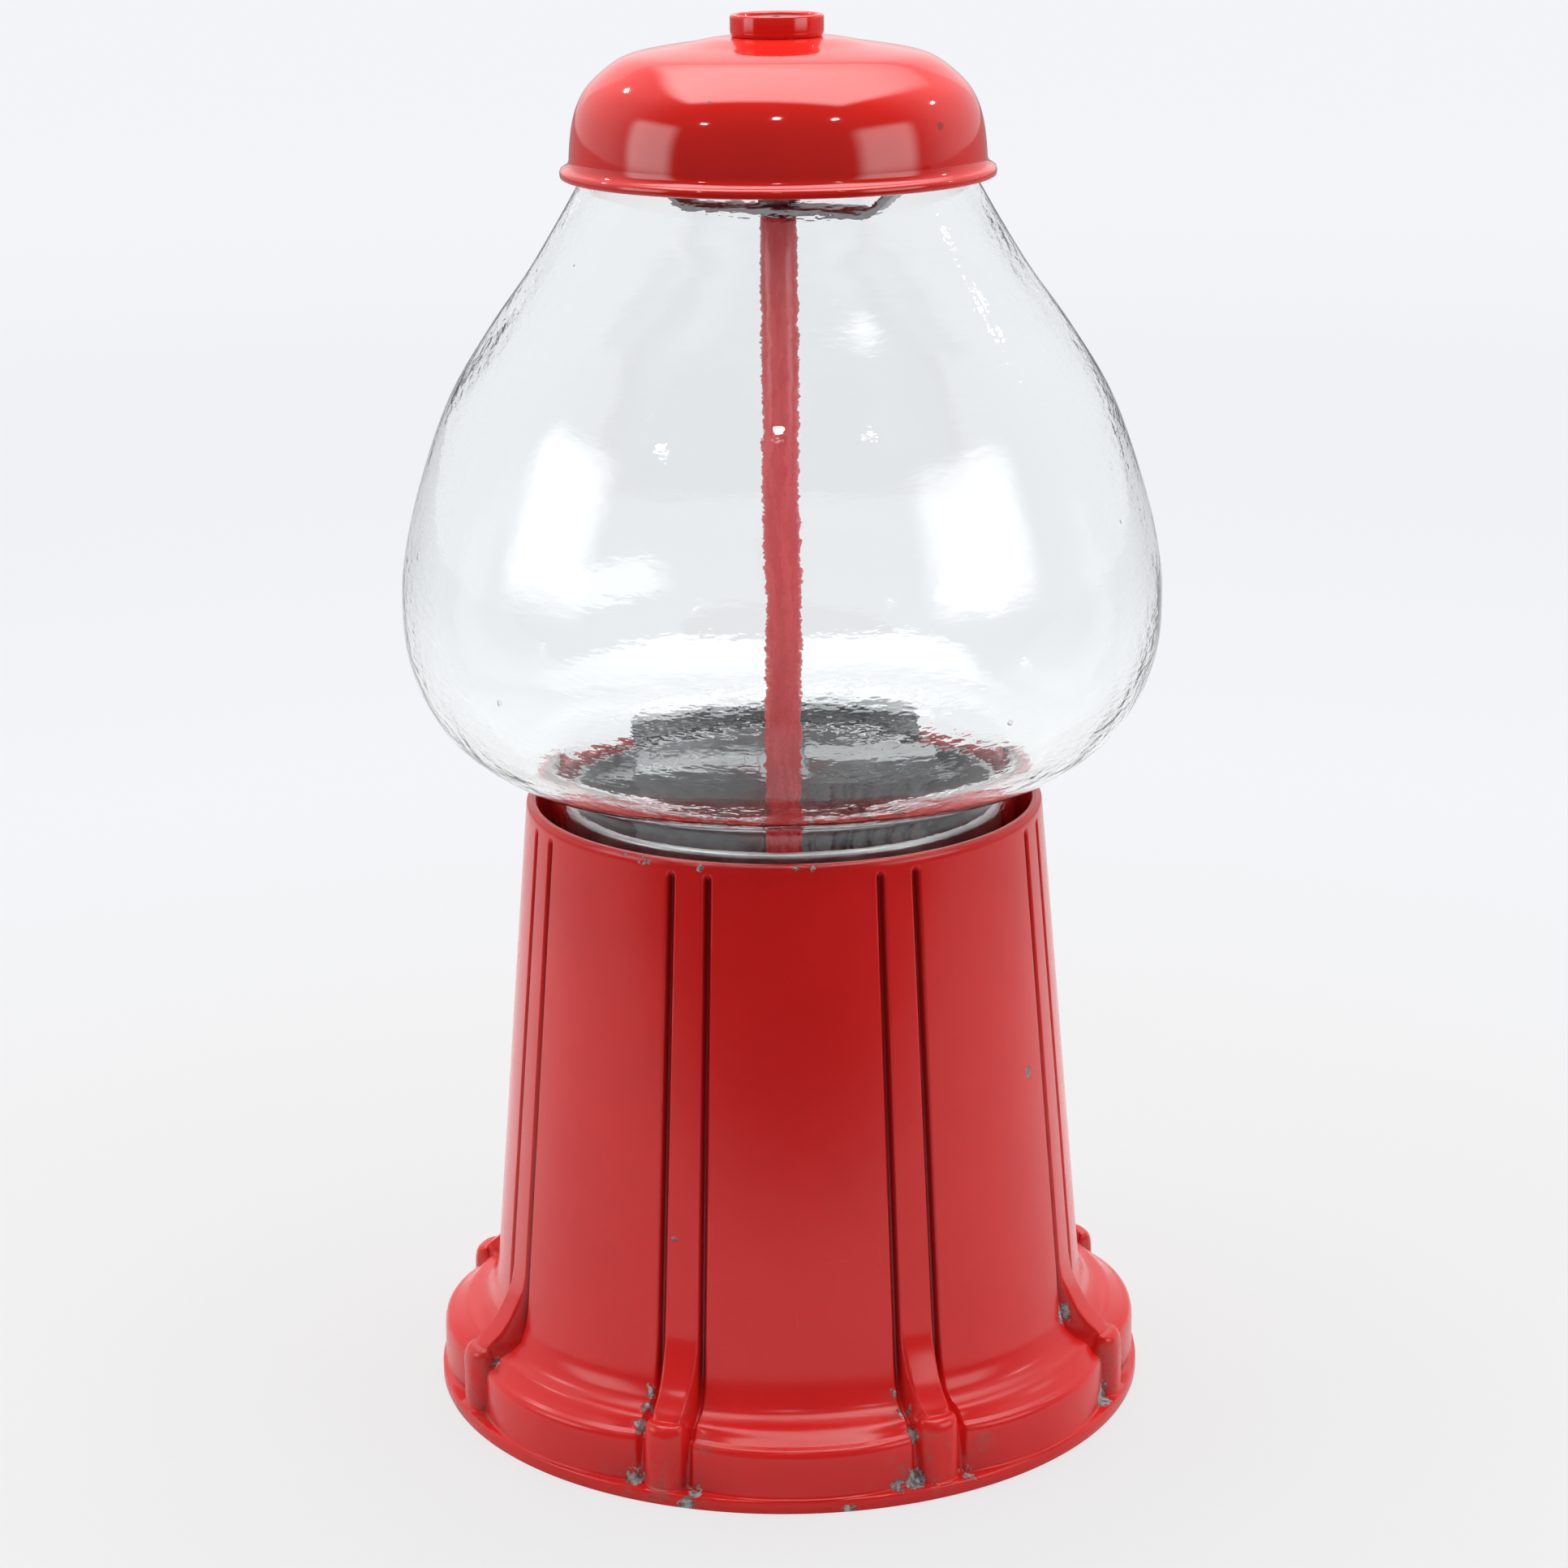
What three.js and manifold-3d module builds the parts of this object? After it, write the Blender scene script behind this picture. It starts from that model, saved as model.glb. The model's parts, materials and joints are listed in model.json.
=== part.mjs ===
// Table-top gumball machine: glass globe and pressed lid on a cast eight-ribbed pedestal, with the
// coin mechanism in the front of the pedestal and the ball hopper in its throat.
// Millimetres, +Z up. The origin is on the floor under the centre rod; the coin mechanism faces -Y.
import * as THREE from 'three';
import { mergeVertices } from 'three/addons/utils/BufferGeometryUtils.js';
import Module from 'manifold-3d';

const wasm = await Module();
wasm.setup();

// ---------------------------------------------------------------- driving dimensions
const GAP = 0.3; // clearance between touching pieces
const PANELS = 8; // panels, ribs and foot lobes round the pedestal
const PANEL_ANGLE = (2 * Math.PI) / PANELS;
const ROUND = 40; // facets round the large turned shapes
const SMALL = 20; // facets round shafts, holes and nuts

const FLANGE_R = 103.3; // bottom flange of the foot
const FLANGE_Z = 4;
const LOBE_R = 102.3; // foot wall at the middle of a panel
const LOBE_IN_R = 97.8; // foot wall beside a rib
const LOBE_TOP = 18;
const CONE_FOOT_R = 86.4; // pedestal cone, at its foot and at its rim
const CONE_FOOT_Z = 28;
const CONE_RIM_R = 74;
const CONE_RIM_Z = 171.5;
const RIM_Z = 175.9;
const FOOT_FACETS = PANELS * 6; // facets round the pedestal
const RIM_IN_R = 70.6;
const WALL = 4; // cast wall of the pedestal
const RIB_WIDTH = 8;
const BOSS_R = 5.2; // half-round end of a rib at the foot
const BOSS_TOP = 20.5;
const GROOVE_ANGLE = (4.1 * Math.PI) / 180; // each groove, measured from its rib's middle
const GROOVE_WIDTH = 2.3;
const GROOVE_DEPTH = 1.8;
const LEDGE_R = 65.6; // inner ledge that carries the hopper
const LEDGE_Z = 142.6;
const PLATE_LEDGE_Z = 12.4; // ledge that the base plate is pulled up against

const NECK_R = 67; // straight lower neck of the glass
const NECK_Z = 149;
const GLASS = 3.2; // glass thickness
const MOUTH_R = 53.5;
const MOUTH_Z = 358;

const LID_R = 57;
const LID_BEAD_R = 59.6;
const LID_Z = 350;
const LID_TOP_Z = 388;
const LID_SHEET = 1.6;
const COLLAR_R = 12.74;
const TOP_Z = 394;
const SLEEVE_R = 10.4; // threaded sleeve of the lock collar, below the lid
const LOCK_R = 8.3;

const ROD_R = 5.15;
const ROD_TIP_R = 3; // threaded upper end of the centre rod
const BRACKET_Z = 339.5; // underside of the globe bracket
const BRACKET_T = 2.8;
const BRACKET_WIDTH = 14;
const BRACKET_FLAT = 28; // half length of its level middle
const BRACKET_TURN = (-23 * Math.PI) / 180;

const HOPPER_R = 61;
const HOPPER_TOP = 176;
const WHEEL_R = 53; // dispensing wheel
const WHEEL_TOP = 147;
const WHEEL_Z = 134;
const POCKETS = 6;
const POCKET_R = 10;
const POCKET_CIRCLE = 33;

const MODULE = 2; // gear tooth module
const CROWN_TEETH = 48;
const PINION_TEETH = 8; // one turn of the knob moves the wheel on by one pocket
const CROWN_R = (MODULE * CROWN_TEETH) / 2;
const PINION_R = (MODULE * PINION_TEETH) / 2;
const ADDENDUM = 1.5;
const DEDENDUM = 2.2;
const FACE_WIDTH = 4;
const BACKLASH = 0.9;
const SHAFT_Z = WHEEL_Z - DEDENDUM - PINION_R;
const SHAFT_R = 4.9;
const SHAFT_END_R = 3.5;

const HOUSING_X = 44.7; // half width of the coin mechanism
const HOUSING_Z = 26;
const HOUSING_TOP = 178;
const HOUSING_BACK = -56;
const FACE_Y = -88; // outer face of the face plate
const FACE_T = 3.2;
const SHEET = 3; // walls of the mechanism housing
const CARRIER_R = 26;
const COIN_R = 12.3;
const RATCHET_TEETH = 8;
const RATCHET_R = 16;
const RATCHET_ROOT_R = 12.5;
const RATCHET_Y = -62;
const PAWL_X = 24;
const PAWL_Z = SHAFT_Z - 15.8;
const PAWL_RIDE = 9.5; // degrees from down in a tooth gap to riding just clear of the tooth tips
const DOOR_PIN_Y = -90.4;
const DOOR_PIN_Z = 61;
const KNOB_FRONT = -106.4;

const FRONT = -Math.PI / 2; // polar angle of the -Y direction

// ---------------------------------------------------------------- solids
function solid(geometry) {
  const bare = geometry.clone();
  bare.deleteAttribute('normal');
  bare.deleteAttribute('uv');
  const merged = mergeVertices(bare, 1e-4);
  const vertProperties = new Float32Array(merged.attributes.position.array);
  const corners = Array.from(merged.index.array);
  const kept = [];
  for (let i = 0; i < corners.length; i += 3) {
    const [a, b, c] = corners.slice(i, i + 3);
    if (a !== b && b !== c && c !== a) kept.push(a, b, c);
  }
  const made = new wasm.Manifold(new wasm.Mesh({ numProp: 3, vertProperties, triVerts: new Uint32Array(kept) }));
  if (made.volume() > 0) return made;
  for (let i = 0; i < kept.length; i += 3) [kept[i], kept[i + 1]] = [kept[i + 1], kept[i]];
  return new wasm.Manifold(new wasm.Mesh({ numProp: 3, vertProperties, triVerts: new Uint32Array(kept) }));
}

function join(first, ...others) {
  return others.reduce((sum, other) => sum.add(other), first);
}

function cut(first, ...others) {
  return others.reduce((rest, other) => rest.subtract(other), first);
}

function box(x0, x1, y0, y1, z0, z1) {
  const block = new THREE.BoxGeometry(x1 - x0, y1 - y0, z1 - z0);
  block.translate((x0 + x1) / 2, (y0 + y1) / 2, (z0 + z1) / 2);
  return solid(block);
}

function rodAlongZ(radius, z0, z1, x = 0, y = 0, facets = SMALL) {
  const rod = new THREE.CylinderGeometry(radius, radius, z1 - z0, facets);
  rod.rotateX(Math.PI / 2);
  rod.translate(x, y, (z0 + z1) / 2);
  return solid(rod);
}

function rodAlongY(radius, y0, y1, x, z, facets = SMALL) {
  const rod = new THREE.CylinderGeometry(radius, radius, y1 - y0, facets);
  rod.translate(x, (y0 + y1) / 2, z);
  return solid(rod);
}

function rodAlongX(radius, x0, x1, y, z, facets = 14) {
  const rod = new THREE.CylinderGeometry(radius, radius, x1 - x0, facets);
  rod.rotateZ(Math.PI / 2);
  rod.translate((x0 + x1) / 2, y, z);
  return solid(rod);
}

// a closed outline of [radius, height] points turned about the Z axis
function turned(outline, facets = ROUND) {
  const points = [...outline, outline[0]].map(([r, z]) => new THREE.Vector2(r, z));
  const ring = new THREE.LatheGeometry(points, facets);
  ring.rotateX(Math.PI / 2);
  return ring;
}

// an outline of [x, z] points between two depths, facing along Y
function upright(outline, y0, y1) {
  const shape = new THREE.Shape(outline.map(([x, z]) => new THREE.Vector2(x, z)));
  const plate = new THREE.ExtrudeGeometry(shape, { depth: y1 - y0, bevelEnabled: false });
  plate.rotateX(Math.PI / 2);
  plate.translate(0, y1, 0);
  return solid(plate);
}

// an outline of [y, z] points between two sides, drawn along X
function sideways(outline, x0, x1) {
  const shape = new THREE.Shape(outline.map(([y, z]) => new THREE.Vector2(y, z)));
  const bar = new THREE.ExtrudeGeometry(shape, { depth: x1 - x0, bevelEnabled: false });
  const axes = new THREE.Matrix4();
  axes.makeBasis(new THREE.Vector3(0, 1, 0), new THREE.Vector3(0, 0, 1), new THREE.Vector3(1, 0, 0));
  bar.applyMatrix4(axes);
  bar.translate(x0, 0, 0);
  return solid(bar);
}

// an outline of [radius, height] points as a bar of some width, standing out along a polar angle
function radial(outline, width, angle) {
  const shape = new THREE.Shape(outline.map(([r, z]) => new THREE.Vector2(r, z)));
  const bar = new THREE.ExtrudeGeometry(shape, { depth: width, bevelEnabled: false });
  bar.translate(0, 0, -width / 2);
  bar.rotateX(Math.PI / 2);
  bar.rotateZ(angle);
  return solid(bar);
}

function hexAlongZ(acrossFlats, z0, z1) {
  return rodAlongZ(acrossFlats / Math.sqrt(3), z0, z1, 0, 0, 6);
}

function smooth(points, count) {
  const curve = new THREE.SplineCurve(points.map(([r, z]) => new THREE.Vector2(r, z)));
  return curve.getPoints(count).map((p) => [p.x, p.y]);
}

// the same line moved sideways by a distance, to its left as it is walked
function offset(line, distance) {
  return line.map(([r, z], i) => {
    const [r0, z0] = line[Math.max(i - 1, 0)];
    const [r1, z1] = line[Math.min(i + 1, line.length - 1)];
    const length = Math.hypot(r1 - r0, z1 - z0);
    return [r - (distance * (z1 - z0)) / length, z + (distance * (r1 - r0)) / length];
  });
}

// ---------------------------------------------------------------- pedestal
function coneRadius(z) {
  const share = (z - CONE_FOOT_Z) / (CONE_RIM_Z - CONE_FOOT_Z);
  return CONE_FOOT_R + share * (CONE_RIM_R - CONE_FOOT_R);
}

function footLobes() {
  const section = [
    [LOBE_IN_R - 2, FLANGE_Z - 1],
    [LOBE_R, FLANGE_Z - 1],
    [LOBE_R, LOBE_TOP - 4],
    [LOBE_R - 1, LOBE_TOP - 1.5],
    [LOBE_R - 3, LOBE_TOP],
    [LOBE_IN_R - 2, LOBE_TOP + 1.4],
  ];
  const lobes = turned(section, FOOT_FACETS);
  const place = lobes.attributes.position;
  for (let i = 0; i < place.count; i += 1) {
    const x = place.getX(i);
    const y = place.getY(i);
    const r = Math.hypot(x, y);
    const turn = Math.atan2(y, x) / PANEL_ANGLE;
    const away = Math.abs(turn - Math.round(turn)) * 2; // 0 at a panel's middle, 1 at a rib
    const outer = Math.max(r - (LOBE_IN_R - 2), 0) / (LOBE_R - LOBE_IN_R + 2);
    const scale = (r - outer * (LOBE_R - LOBE_IN_R) * away ** 2.5) / r;
    place.setX(i, x * scale);
    place.setY(i, y * scale);
  }
  return solid(lobes);
}

function footRib(angle) {
  const bar = radial(
    [
      [CONE_FOOT_R - 3, CONE_FOOT_Z],
      [coneRadius(33) - 0.6, 33],
      [90.5, 27],
      [96.5, 23],
      [LOBE_IN_R + 2, BOSS_TOP],
      [LOBE_IN_R, FLANGE_Z],
      [LOBE_IN_R - 2, FLANGE_Z],
      [CONE_FOOT_R, 22],
    ],
    RIB_WIDTH,
    angle,
  );
  const x = LOBE_IN_R * Math.cos(angle);
  const y = LOBE_IN_R * Math.sin(angle);
  const boss = rodAlongZ(BOSS_R, FLANGE_Z - 1, BOSS_TOP, x, y, 16);
  return join(bar, boss);
}

function groove(angle) {
  const low = CONE_FOOT_Z - 1;
  const high = RIM_Z - 3;
  const outline = [
    [coneRadius(low) - GROOVE_DEPTH, low],
    [coneRadius(low) + 3, low],
    [coneRadius(high) + 3, high],
    [coneRadius(high) - GROOVE_DEPTH, high],
  ];
  return radial(outline, GROOVE_WIDTH, angle);
}

function pedestalShell() {
  const outline = [
    [95, 0],
    [FLANGE_R - 0.6, 0],
    [FLANGE_R, 0.7],
    [FLANGE_R, FLANGE_Z - 0.7],
    [FLANGE_R - 0.6, FLANGE_Z],
    [LOBE_IN_R, FLANGE_Z],
    [LOBE_IN_R, LOBE_TOP - 2],
    [94, 21.5],
    [90, 22.6],
    [87.4, 25],
    [CONE_FOOT_R, CONE_FOOT_Z],
    [CONE_RIM_R, CONE_RIM_Z],
    [CONE_RIM_R - 0.2, RIM_Z - 1],
    [CONE_RIM_R - 1, RIM_Z],
    [RIM_IN_R + 1, RIM_Z],
    [RIM_IN_R, RIM_Z - 1],
    [RIM_IN_R, LEDGE_Z],
    [LEDGE_R, LEDGE_Z],
    [LEDGE_R, LEDGE_Z - 3],
    [coneRadius(135) - WALL, 135],
    [CONE_FOOT_R - WALL, CONE_FOOT_Z],
    [86, 22],
    [88, 20],
    [88, PLATE_LEDGE_Z],
    [94.3, PLATE_LEDGE_Z],
  ];
  let shell = join(solid(turned(outline, FOOT_FACETS)), footLobes());
  for (let i = 0; i < PANELS; i += 1) {
    const rib = (i + 0.5) * PANEL_ANGLE;
    shell = join(shell, footRib(rib));
    shell = cut(shell, groove(rib - GROOVE_ANGLE), groove(rib + GROOVE_ANGLE));
  }
  const edge = HOUSING_X + GAP;
  const plateRecess = rodAlongZ(94.3, -1, PLATE_LEDGE_Z, 0, 0, FOOT_FACETS);
  const aboveRecess = rodAlongZ(88, PLATE_LEDGE_Z - 1, 20, 0, 0, FOOT_FACETS);
  const opening = box(-edge, edge, -110, HOUSING_BACK + 1, HOUSING_Z - GAP, RIM_Z + 5);
  return cut(shell, opening, plateRecess, aboveRecess);
}

function basePlate() {
  const plate = rodAlongZ(93.5, PLATE_LEDGE_Z - 2.4, PLATE_LEDGE_Z - 0.4, 0, 0, ROUND);
  return cut(plate, rodAlongZ(ROD_R + 0.35, 5, 15));
}

function rodWasher() {
  return cut(rodAlongZ(13, 8.2, 9.7), rodAlongZ(ROD_R + 0.35, 5, 15));
}

function baseNut() {
  return cut(hexAlongZ(17, 2, 7.9), rodAlongZ(ROD_R + 0.35, 0, 15));
}

function spacerTube() {
  return cut(rodAlongZ(8, PLATE_LEDGE_Z - 0.1, 128.6), rodAlongZ(ROD_R + 0.35, 5, 135));
}

function centreRod() {
  return join(rodAlongZ(ROD_R, 0.8, BRACKET_Z - GAP), rodAlongZ(ROD_TIP_R, 330, 355.5));
}

// ---------------------------------------------------------------- globe, bracket, lid and lock
function glassGlobe() {
  const outer = [
    [NECK_R, NECK_Z],
    [NECK_R, 181],
    [NECK_R + 0.6, 183.2],
    [NECK_R + 2.4, 184.8],
    ...smooth(
      [[73.5, 185.9], [79, 187.3], [85, 189.9], [91.5, 194.6], [96.8, 200], [104.2, 215], [106.65, 230],
        [105.9, 245], [101.3, 265], [92.2, 290], [80.1, 310], [69.3, 325], [60, 340], [54.8, 349]],
      17,
    ),
    [MOUTH_R, 353],
    [MOUTH_R, MOUTH_Z - 1],
    [MOUTH_R - 1, MOUTH_Z],
  ];
  const inner = offset(outer, GLASS).reverse();
  inner[inner.length - 1] = [NECK_R - GLASS, NECK_Z];
  inner[0] = [MOUTH_R - GLASS + 1, MOUTH_Z];
  inner[1] = [MOUTH_R - GLASS, MOUTH_Z - 1];
  return solid(turned([...outer, ...inner], ROUND));
}

function globeGasket() {
  return solid(turned([[64, 146.3], [68.6, 146.3], [68.6, 148.7], [64, 148.7]], ROUND));
}

function globeBracket() {
  const arm = MOUTH_Z + GAP;
  const low = BRACKET_Z;
  const thick = BRACKET_T;
  const foot = MOUTH_R + 0.8;
  const knee = MOUTH_R - 6.5;
  const half = [
    [BRACKET_FLAT, low],
    [knee, arm],
    [foot, arm],
    [foot, arm + thick],
    [knee - 1.2, arm + thick],
    [BRACKET_FLAT - 1.2, low + thick],
  ];
  const mirror = half.map(([x, z]) => [-x, z]).reverse();
  const shape = new THREE.Shape([...half, ...mirror].map(([x, z]) => new THREE.Vector2(x, z)));
  const strap = new THREE.ExtrudeGeometry(shape, { depth: BRACKET_WIDTH, bevelEnabled: false });
  strap.translate(0, 0, -BRACKET_WIDTH / 2);
  strap.rotateX(Math.PI / 2);
  strap.rotateZ(BRACKET_TURN);
  return cut(solid(strap), rodAlongZ(ROD_TIP_R + GAP, 330, 360));
}

function bracketNut() {
  const low = BRACKET_Z + BRACKET_T + GAP;
  return cut(hexAlongZ(12, low, low + 4.4), rodAlongZ(ROD_TIP_R + GAP, 330, 360));
}

function lidDome() {
  const outer = [
    [LID_BEAD_R - 1, LID_Z],
    [LID_BEAD_R, LID_Z + 0.8],
    [LID_BEAD_R, LID_Z + 2.2],
    [LID_BEAD_R - 1.4, LID_Z + 3.2],
    ...smooth(
      [[LID_R, LID_Z + 6], [56.3, 364], [54.7, 370], [51.7, 375], [46.5, 380], [40.4, 383], [25.2, 385],
        [17, 387], [13.8, LID_TOP_Z]],
      9,
    ),
  ];
  const hole = SLEEVE_R + 0.4;
  const top = [[hole, LID_TOP_Z], [hole, LID_TOP_Z - LID_SHEET]];
  const inner = offset(outer.slice(4), LID_SHEET).reverse();
  const rim = [[LID_BEAD_R - 3.2, LID_Z + 3], [LID_BEAD_R - 2.2, LID_Z]];
  return solid(turned([...outer, ...top, ...inner, ...rim], ROUND));
}

function lidCollar() {
  const bore = LOCK_R + GAP;
  const outline = [
    [bore, LID_TOP_Z - 12],
    [SLEEVE_R, LID_TOP_Z - 12],
    [SLEEVE_R, LID_TOP_Z + GAP],
    [COLLAR_R, LID_TOP_Z + GAP],
    [COLLAR_R, TOP_Z - 0.8],
    [COLLAR_R - 0.8, TOP_Z],
    [bore + 1.4, TOP_Z],
    [bore, TOP_Z - 1.2],
  ];
  return solid(turned(outline, 24));
}

function collarNut() {
  return cut(hexAlongZ(25, 380.4, 384.6), rodAlongZ(SLEEVE_R + GAP, 370, 390));
}

function lockCore() {
  const core = join(rodAlongZ(LOCK_R, 376, TOP_Z - 2.4), rodAlongZ(6.6, 348, 377));
  const socket = rodAlongZ(ROD_TIP_R + 0.4, 340, 357.5);
  const keyway = box(-0.8, 0.8, -3.6, 3.6, TOP_Z - 5, TOP_Z);
  return cut(core, socket, keyway);
}

// ---------------------------------------------------------------- hopper and dispensing wheel
function hopper() {
  const outline = [
    [WHEEL_R + 2, 138],
    [57.5, 138],
    [57.5, LEDGE_Z + GAP],
    [NECK_R + 2.5, LEDGE_Z + GAP],
    [NECK_R + 2.5, 146],
    [HOPPER_R, 146],
    [HOPPER_R, HOPPER_TOP - 1.4],
    [HOPPER_R - 0.8, HOPPER_TOP],
    [HOPPER_R - 2.2, HOPPER_TOP],
    [HOPPER_R - 3, HOPPER_TOP - 1.4],
    [HOPPER_R - 3, 153],
    [WHEEL_R + 2, 149.5],
  ];
  return solid(turned(outline, ROUND));
}

// the cast guard over the drop hole: a deck with a raised box and a raised block on it, whose back
// walls come down to the wheel and scrape the spare balls off the pocket
function ballGuard() {
  const low = WHEEL_TOP + 0.6;
  const deck = cut(rodAlongZ(HOPPER_R - 3.4, 169.4, 171.8, 0, 0, ROUND), box(-70, 70, -20, 70, 165, 180));
  const raisedBox = box(5.5, 43, -38, -18, 170, 175.3);
  const raisedBlock = box(-46, -7.5, -42, -24, 169.6, 176.5);
  let guard = join(deck, raisedBox, raisedBlock, box(5.5, 43, -21, -18, low, 175));
  guard = join(guard, box(-44, -7.5, -32, -29, low, 172), box(-7.6, 5.6, -24, -20, low, 171.8));
  guard = join(guard, box(-10, -7.5, -32, -21, low, 171.8));
  const spacing = 5.8;
  for (let i = 0; i < 5; i += 1) {
    guard = join(guard, rodAlongZ(2.1, low, 170.5, -17.5 - i * spacing, -29, 10));
  }
  const inside = rodAlongZ(HOPPER_R - 3.4, 140, 180, 0, 0, ROUND);
  return cut(guard.intersect(inside), rodAlongZ(ROD_R + 1.2, 140, 180));
}

function crownTooth(index) {
  const angle = FRONT + ((index + 0.5) * 2 * Math.PI) / CROWN_TEETH;
  const pitch = WHEEL_Z - DEDENDUM;
  const half = (Math.PI * MODULE) / 4 - BACKLASH / 4;
  const slope = Math.tan((25 * Math.PI) / 180);
  const tip = half - ADDENDUM * slope;
  const root = half + (DEDENDUM + 0.4) * slope;
  const outline = [
    [-root, WHEEL_Z + 0.4],
    [-tip, pitch - ADDENDUM],
    [tip, pitch - ADDENDUM],
    [root, WHEEL_Z + 0.4],
  ];
  const shape = new THREE.Shape(outline.map(([x, z]) => new THREE.Vector2(x, z)));
  const width = FACE_WIDTH + 1;
  const tooth = new THREE.ExtrudeGeometry(shape, { depth: width, bevelEnabled: false });
  tooth.rotateX(Math.PI / 2);
  tooth.translate(0, CROWN_R + width / 2, 0);
  tooth.rotateZ(angle - Math.PI / 2);
  return solid(tooth);
}

function dispensingWheel() {
  let wheel = rodAlongZ(WHEEL_R, WHEEL_Z, WHEEL_TOP, 0, 0, ROUND);
  for (let i = 0; i < POCKETS; i += 1) {
    const angle = FRONT + (i * 2 * Math.PI) / POCKETS;
    const x = POCKET_CIRCLE * Math.cos(angle);
    const y = POCKET_CIRCLE * Math.sin(angle);
    wheel = cut(wheel, rodAlongZ(POCKET_R, WHEEL_Z - 2, WHEEL_TOP + 2, x, y, 16));
  }
  for (let i = 0; i < CROWN_TEETH; i += 1) wheel = join(wheel, crownTooth(i));
  return cut(wheel, rodAlongZ(ROD_R + 0.35, 120, 160));
}

function dropPlate() {
  const plate = rodAlongZ(43.5, 129, WHEEL_Z - 0.4, 0, 0, 32);
  const hole = rodAlongZ(POCKET_R + 0.7, 120, 140, 0, -POCKET_CIRCLE);
  return cut(plate, hole, rodAlongZ(ROD_R + 0.35, 120, 140));
}

// ---------------------------------------------------------------- coin mechanism
function mechanismHousing() {
  const front = FACE_Y + FACE_T + GAP;
  const inner = HOUSING_X - SHEET;
  const shell = box(-HOUSING_X, HOUSING_X, front, HOUSING_BACK, HOUSING_Z, HOUSING_TOP);
  const hollow = box(-inner, inner, front - 1, HOUSING_BACK + 1, HOUSING_Z + SHEET, HOUSING_TOP - SHEET);
  const round = turned([[71.8, 137], [74.8, 137], [74.8, HOUSING_TOP - 1], [71.8, HOUSING_TOP - 1]], FOOT_FACETS);
  const backWall = solid(round).intersect(box(-inner - 1, inner + 1, -80, -40, 130, 180));
  let housing = join(cut(shell, hollow), backWall);
  for (const [x, z] of screwPlaces()) {
    const side = Math.sign(x);
    const near = Math.min(x, side * inner);
    const far = Math.max(x, side * inner);
    const boss = box(near - 4, far + 4, front, front + 10, z - 4, z + 4);
    housing = join(housing, boss.intersect(box(-inner - 1, inner + 1, -90, -60, 20, 180)));
    housing = cut(housing, rodAlongY(2.1, front - 2, front + 8, x, z, 12));
  }
  const coinSlot = box(-13, 13, -84.1, -81.3, 170, 180);
  const neck = rodAlongZ(71.8, 136, 190, 0, 0, FOOT_FACETS);
  const shoulder = rodAlongZ(76, HOUSING_TOP - SHEET, 190, 0, 0, FOOT_FACETS);
  return cut(housing, neck, shoulder, coinSlot);
}

function screwPlaces() {
  const x = HOUSING_X - 6.5;
  return [[-x, HOUSING_Z + 7], [x, HOUSING_Z + 7], [-x, HOUSING_TOP - 8], [x, HOUSING_TOP - 8]];
}

function facePlate() {
  const shape = new THREE.Shape();
  const corner = 7;
  const x = HOUSING_X;
  shape.moveTo(-x, HOUSING_Z + corner);
  shape.absarc(-x + corner, HOUSING_Z + corner, corner, Math.PI, 1.5 * Math.PI, false);
  shape.absarc(x - corner, HOUSING_Z + corner, corner, 1.5 * Math.PI, 2 * Math.PI, false);
  shape.absarc(x - corner, HOUSING_TOP - corner, corner, 0, 0.5 * Math.PI, false);
  shape.absarc(-x + corner, HOUSING_TOP - corner, corner, 0.5 * Math.PI, Math.PI, false);
  let plate = upright(shape.getPoints(5).slice(0, -1).map((p) => [p.x, p.y]), FACE_Y, FACE_Y + FACE_T);
  for (const [sx, sz] of screwPlaces()) plate = cut(plate, rodAlongY(2.1, -95, -80, sx, sz, 12));
  const window = box(-12.5, 12.5, -95, -80, 37, 62.4);
  return cut(plate, window, rodAlongY(9, -95, -80, 0, SHAFT_Z));
}

function facePlateScrew([x, z]) {
  const head = rodAlongY(3.7, FACE_Y - GAP - 2, FACE_Y - GAP, x, z, 16);
  const shank = rodAlongY(1.8, FACE_Y - GAP - 0.5, FACE_Y + FACE_T + 6, x, z, 12);
  const slot = box(x - 4, x + 4, FACE_Y - 4, FACE_Y - 1.4, z - 0.5, z + 0.5);
  return cut(join(head, shank), slot);
}

function knobEscutcheon() {
  const plate = rodAlongY(24, FACE_Y - GAP - 1.8, FACE_Y - GAP, 0, SHAFT_Z, 32);
  return cut(plate, rodAlongY(12.4, -95, -85, 0, SHAFT_Z));
}

function frontBushing() {
  const flange = rodAlongY(12, FACE_Y - GAP - 2, FACE_Y - GAP, 0, SHAFT_Z);
  const sleeve = rodAlongY(8.7, FACE_Y - GAP - 1, FACE_Y + FACE_T - 0.2, 0, SHAFT_Z);
  return cut(join(flange, sleeve), rodAlongY(SHAFT_R + GAP, -95, -80, 0, SHAFT_Z));
}

function coinShaft() {
  const main = rodAlongY(SHAFT_R, -100.4, -53.6, 0, SHAFT_Z);
  return join(main, rodAlongY(SHAFT_END_R, -54, -46.7, 0, SHAFT_Z));
}

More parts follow.
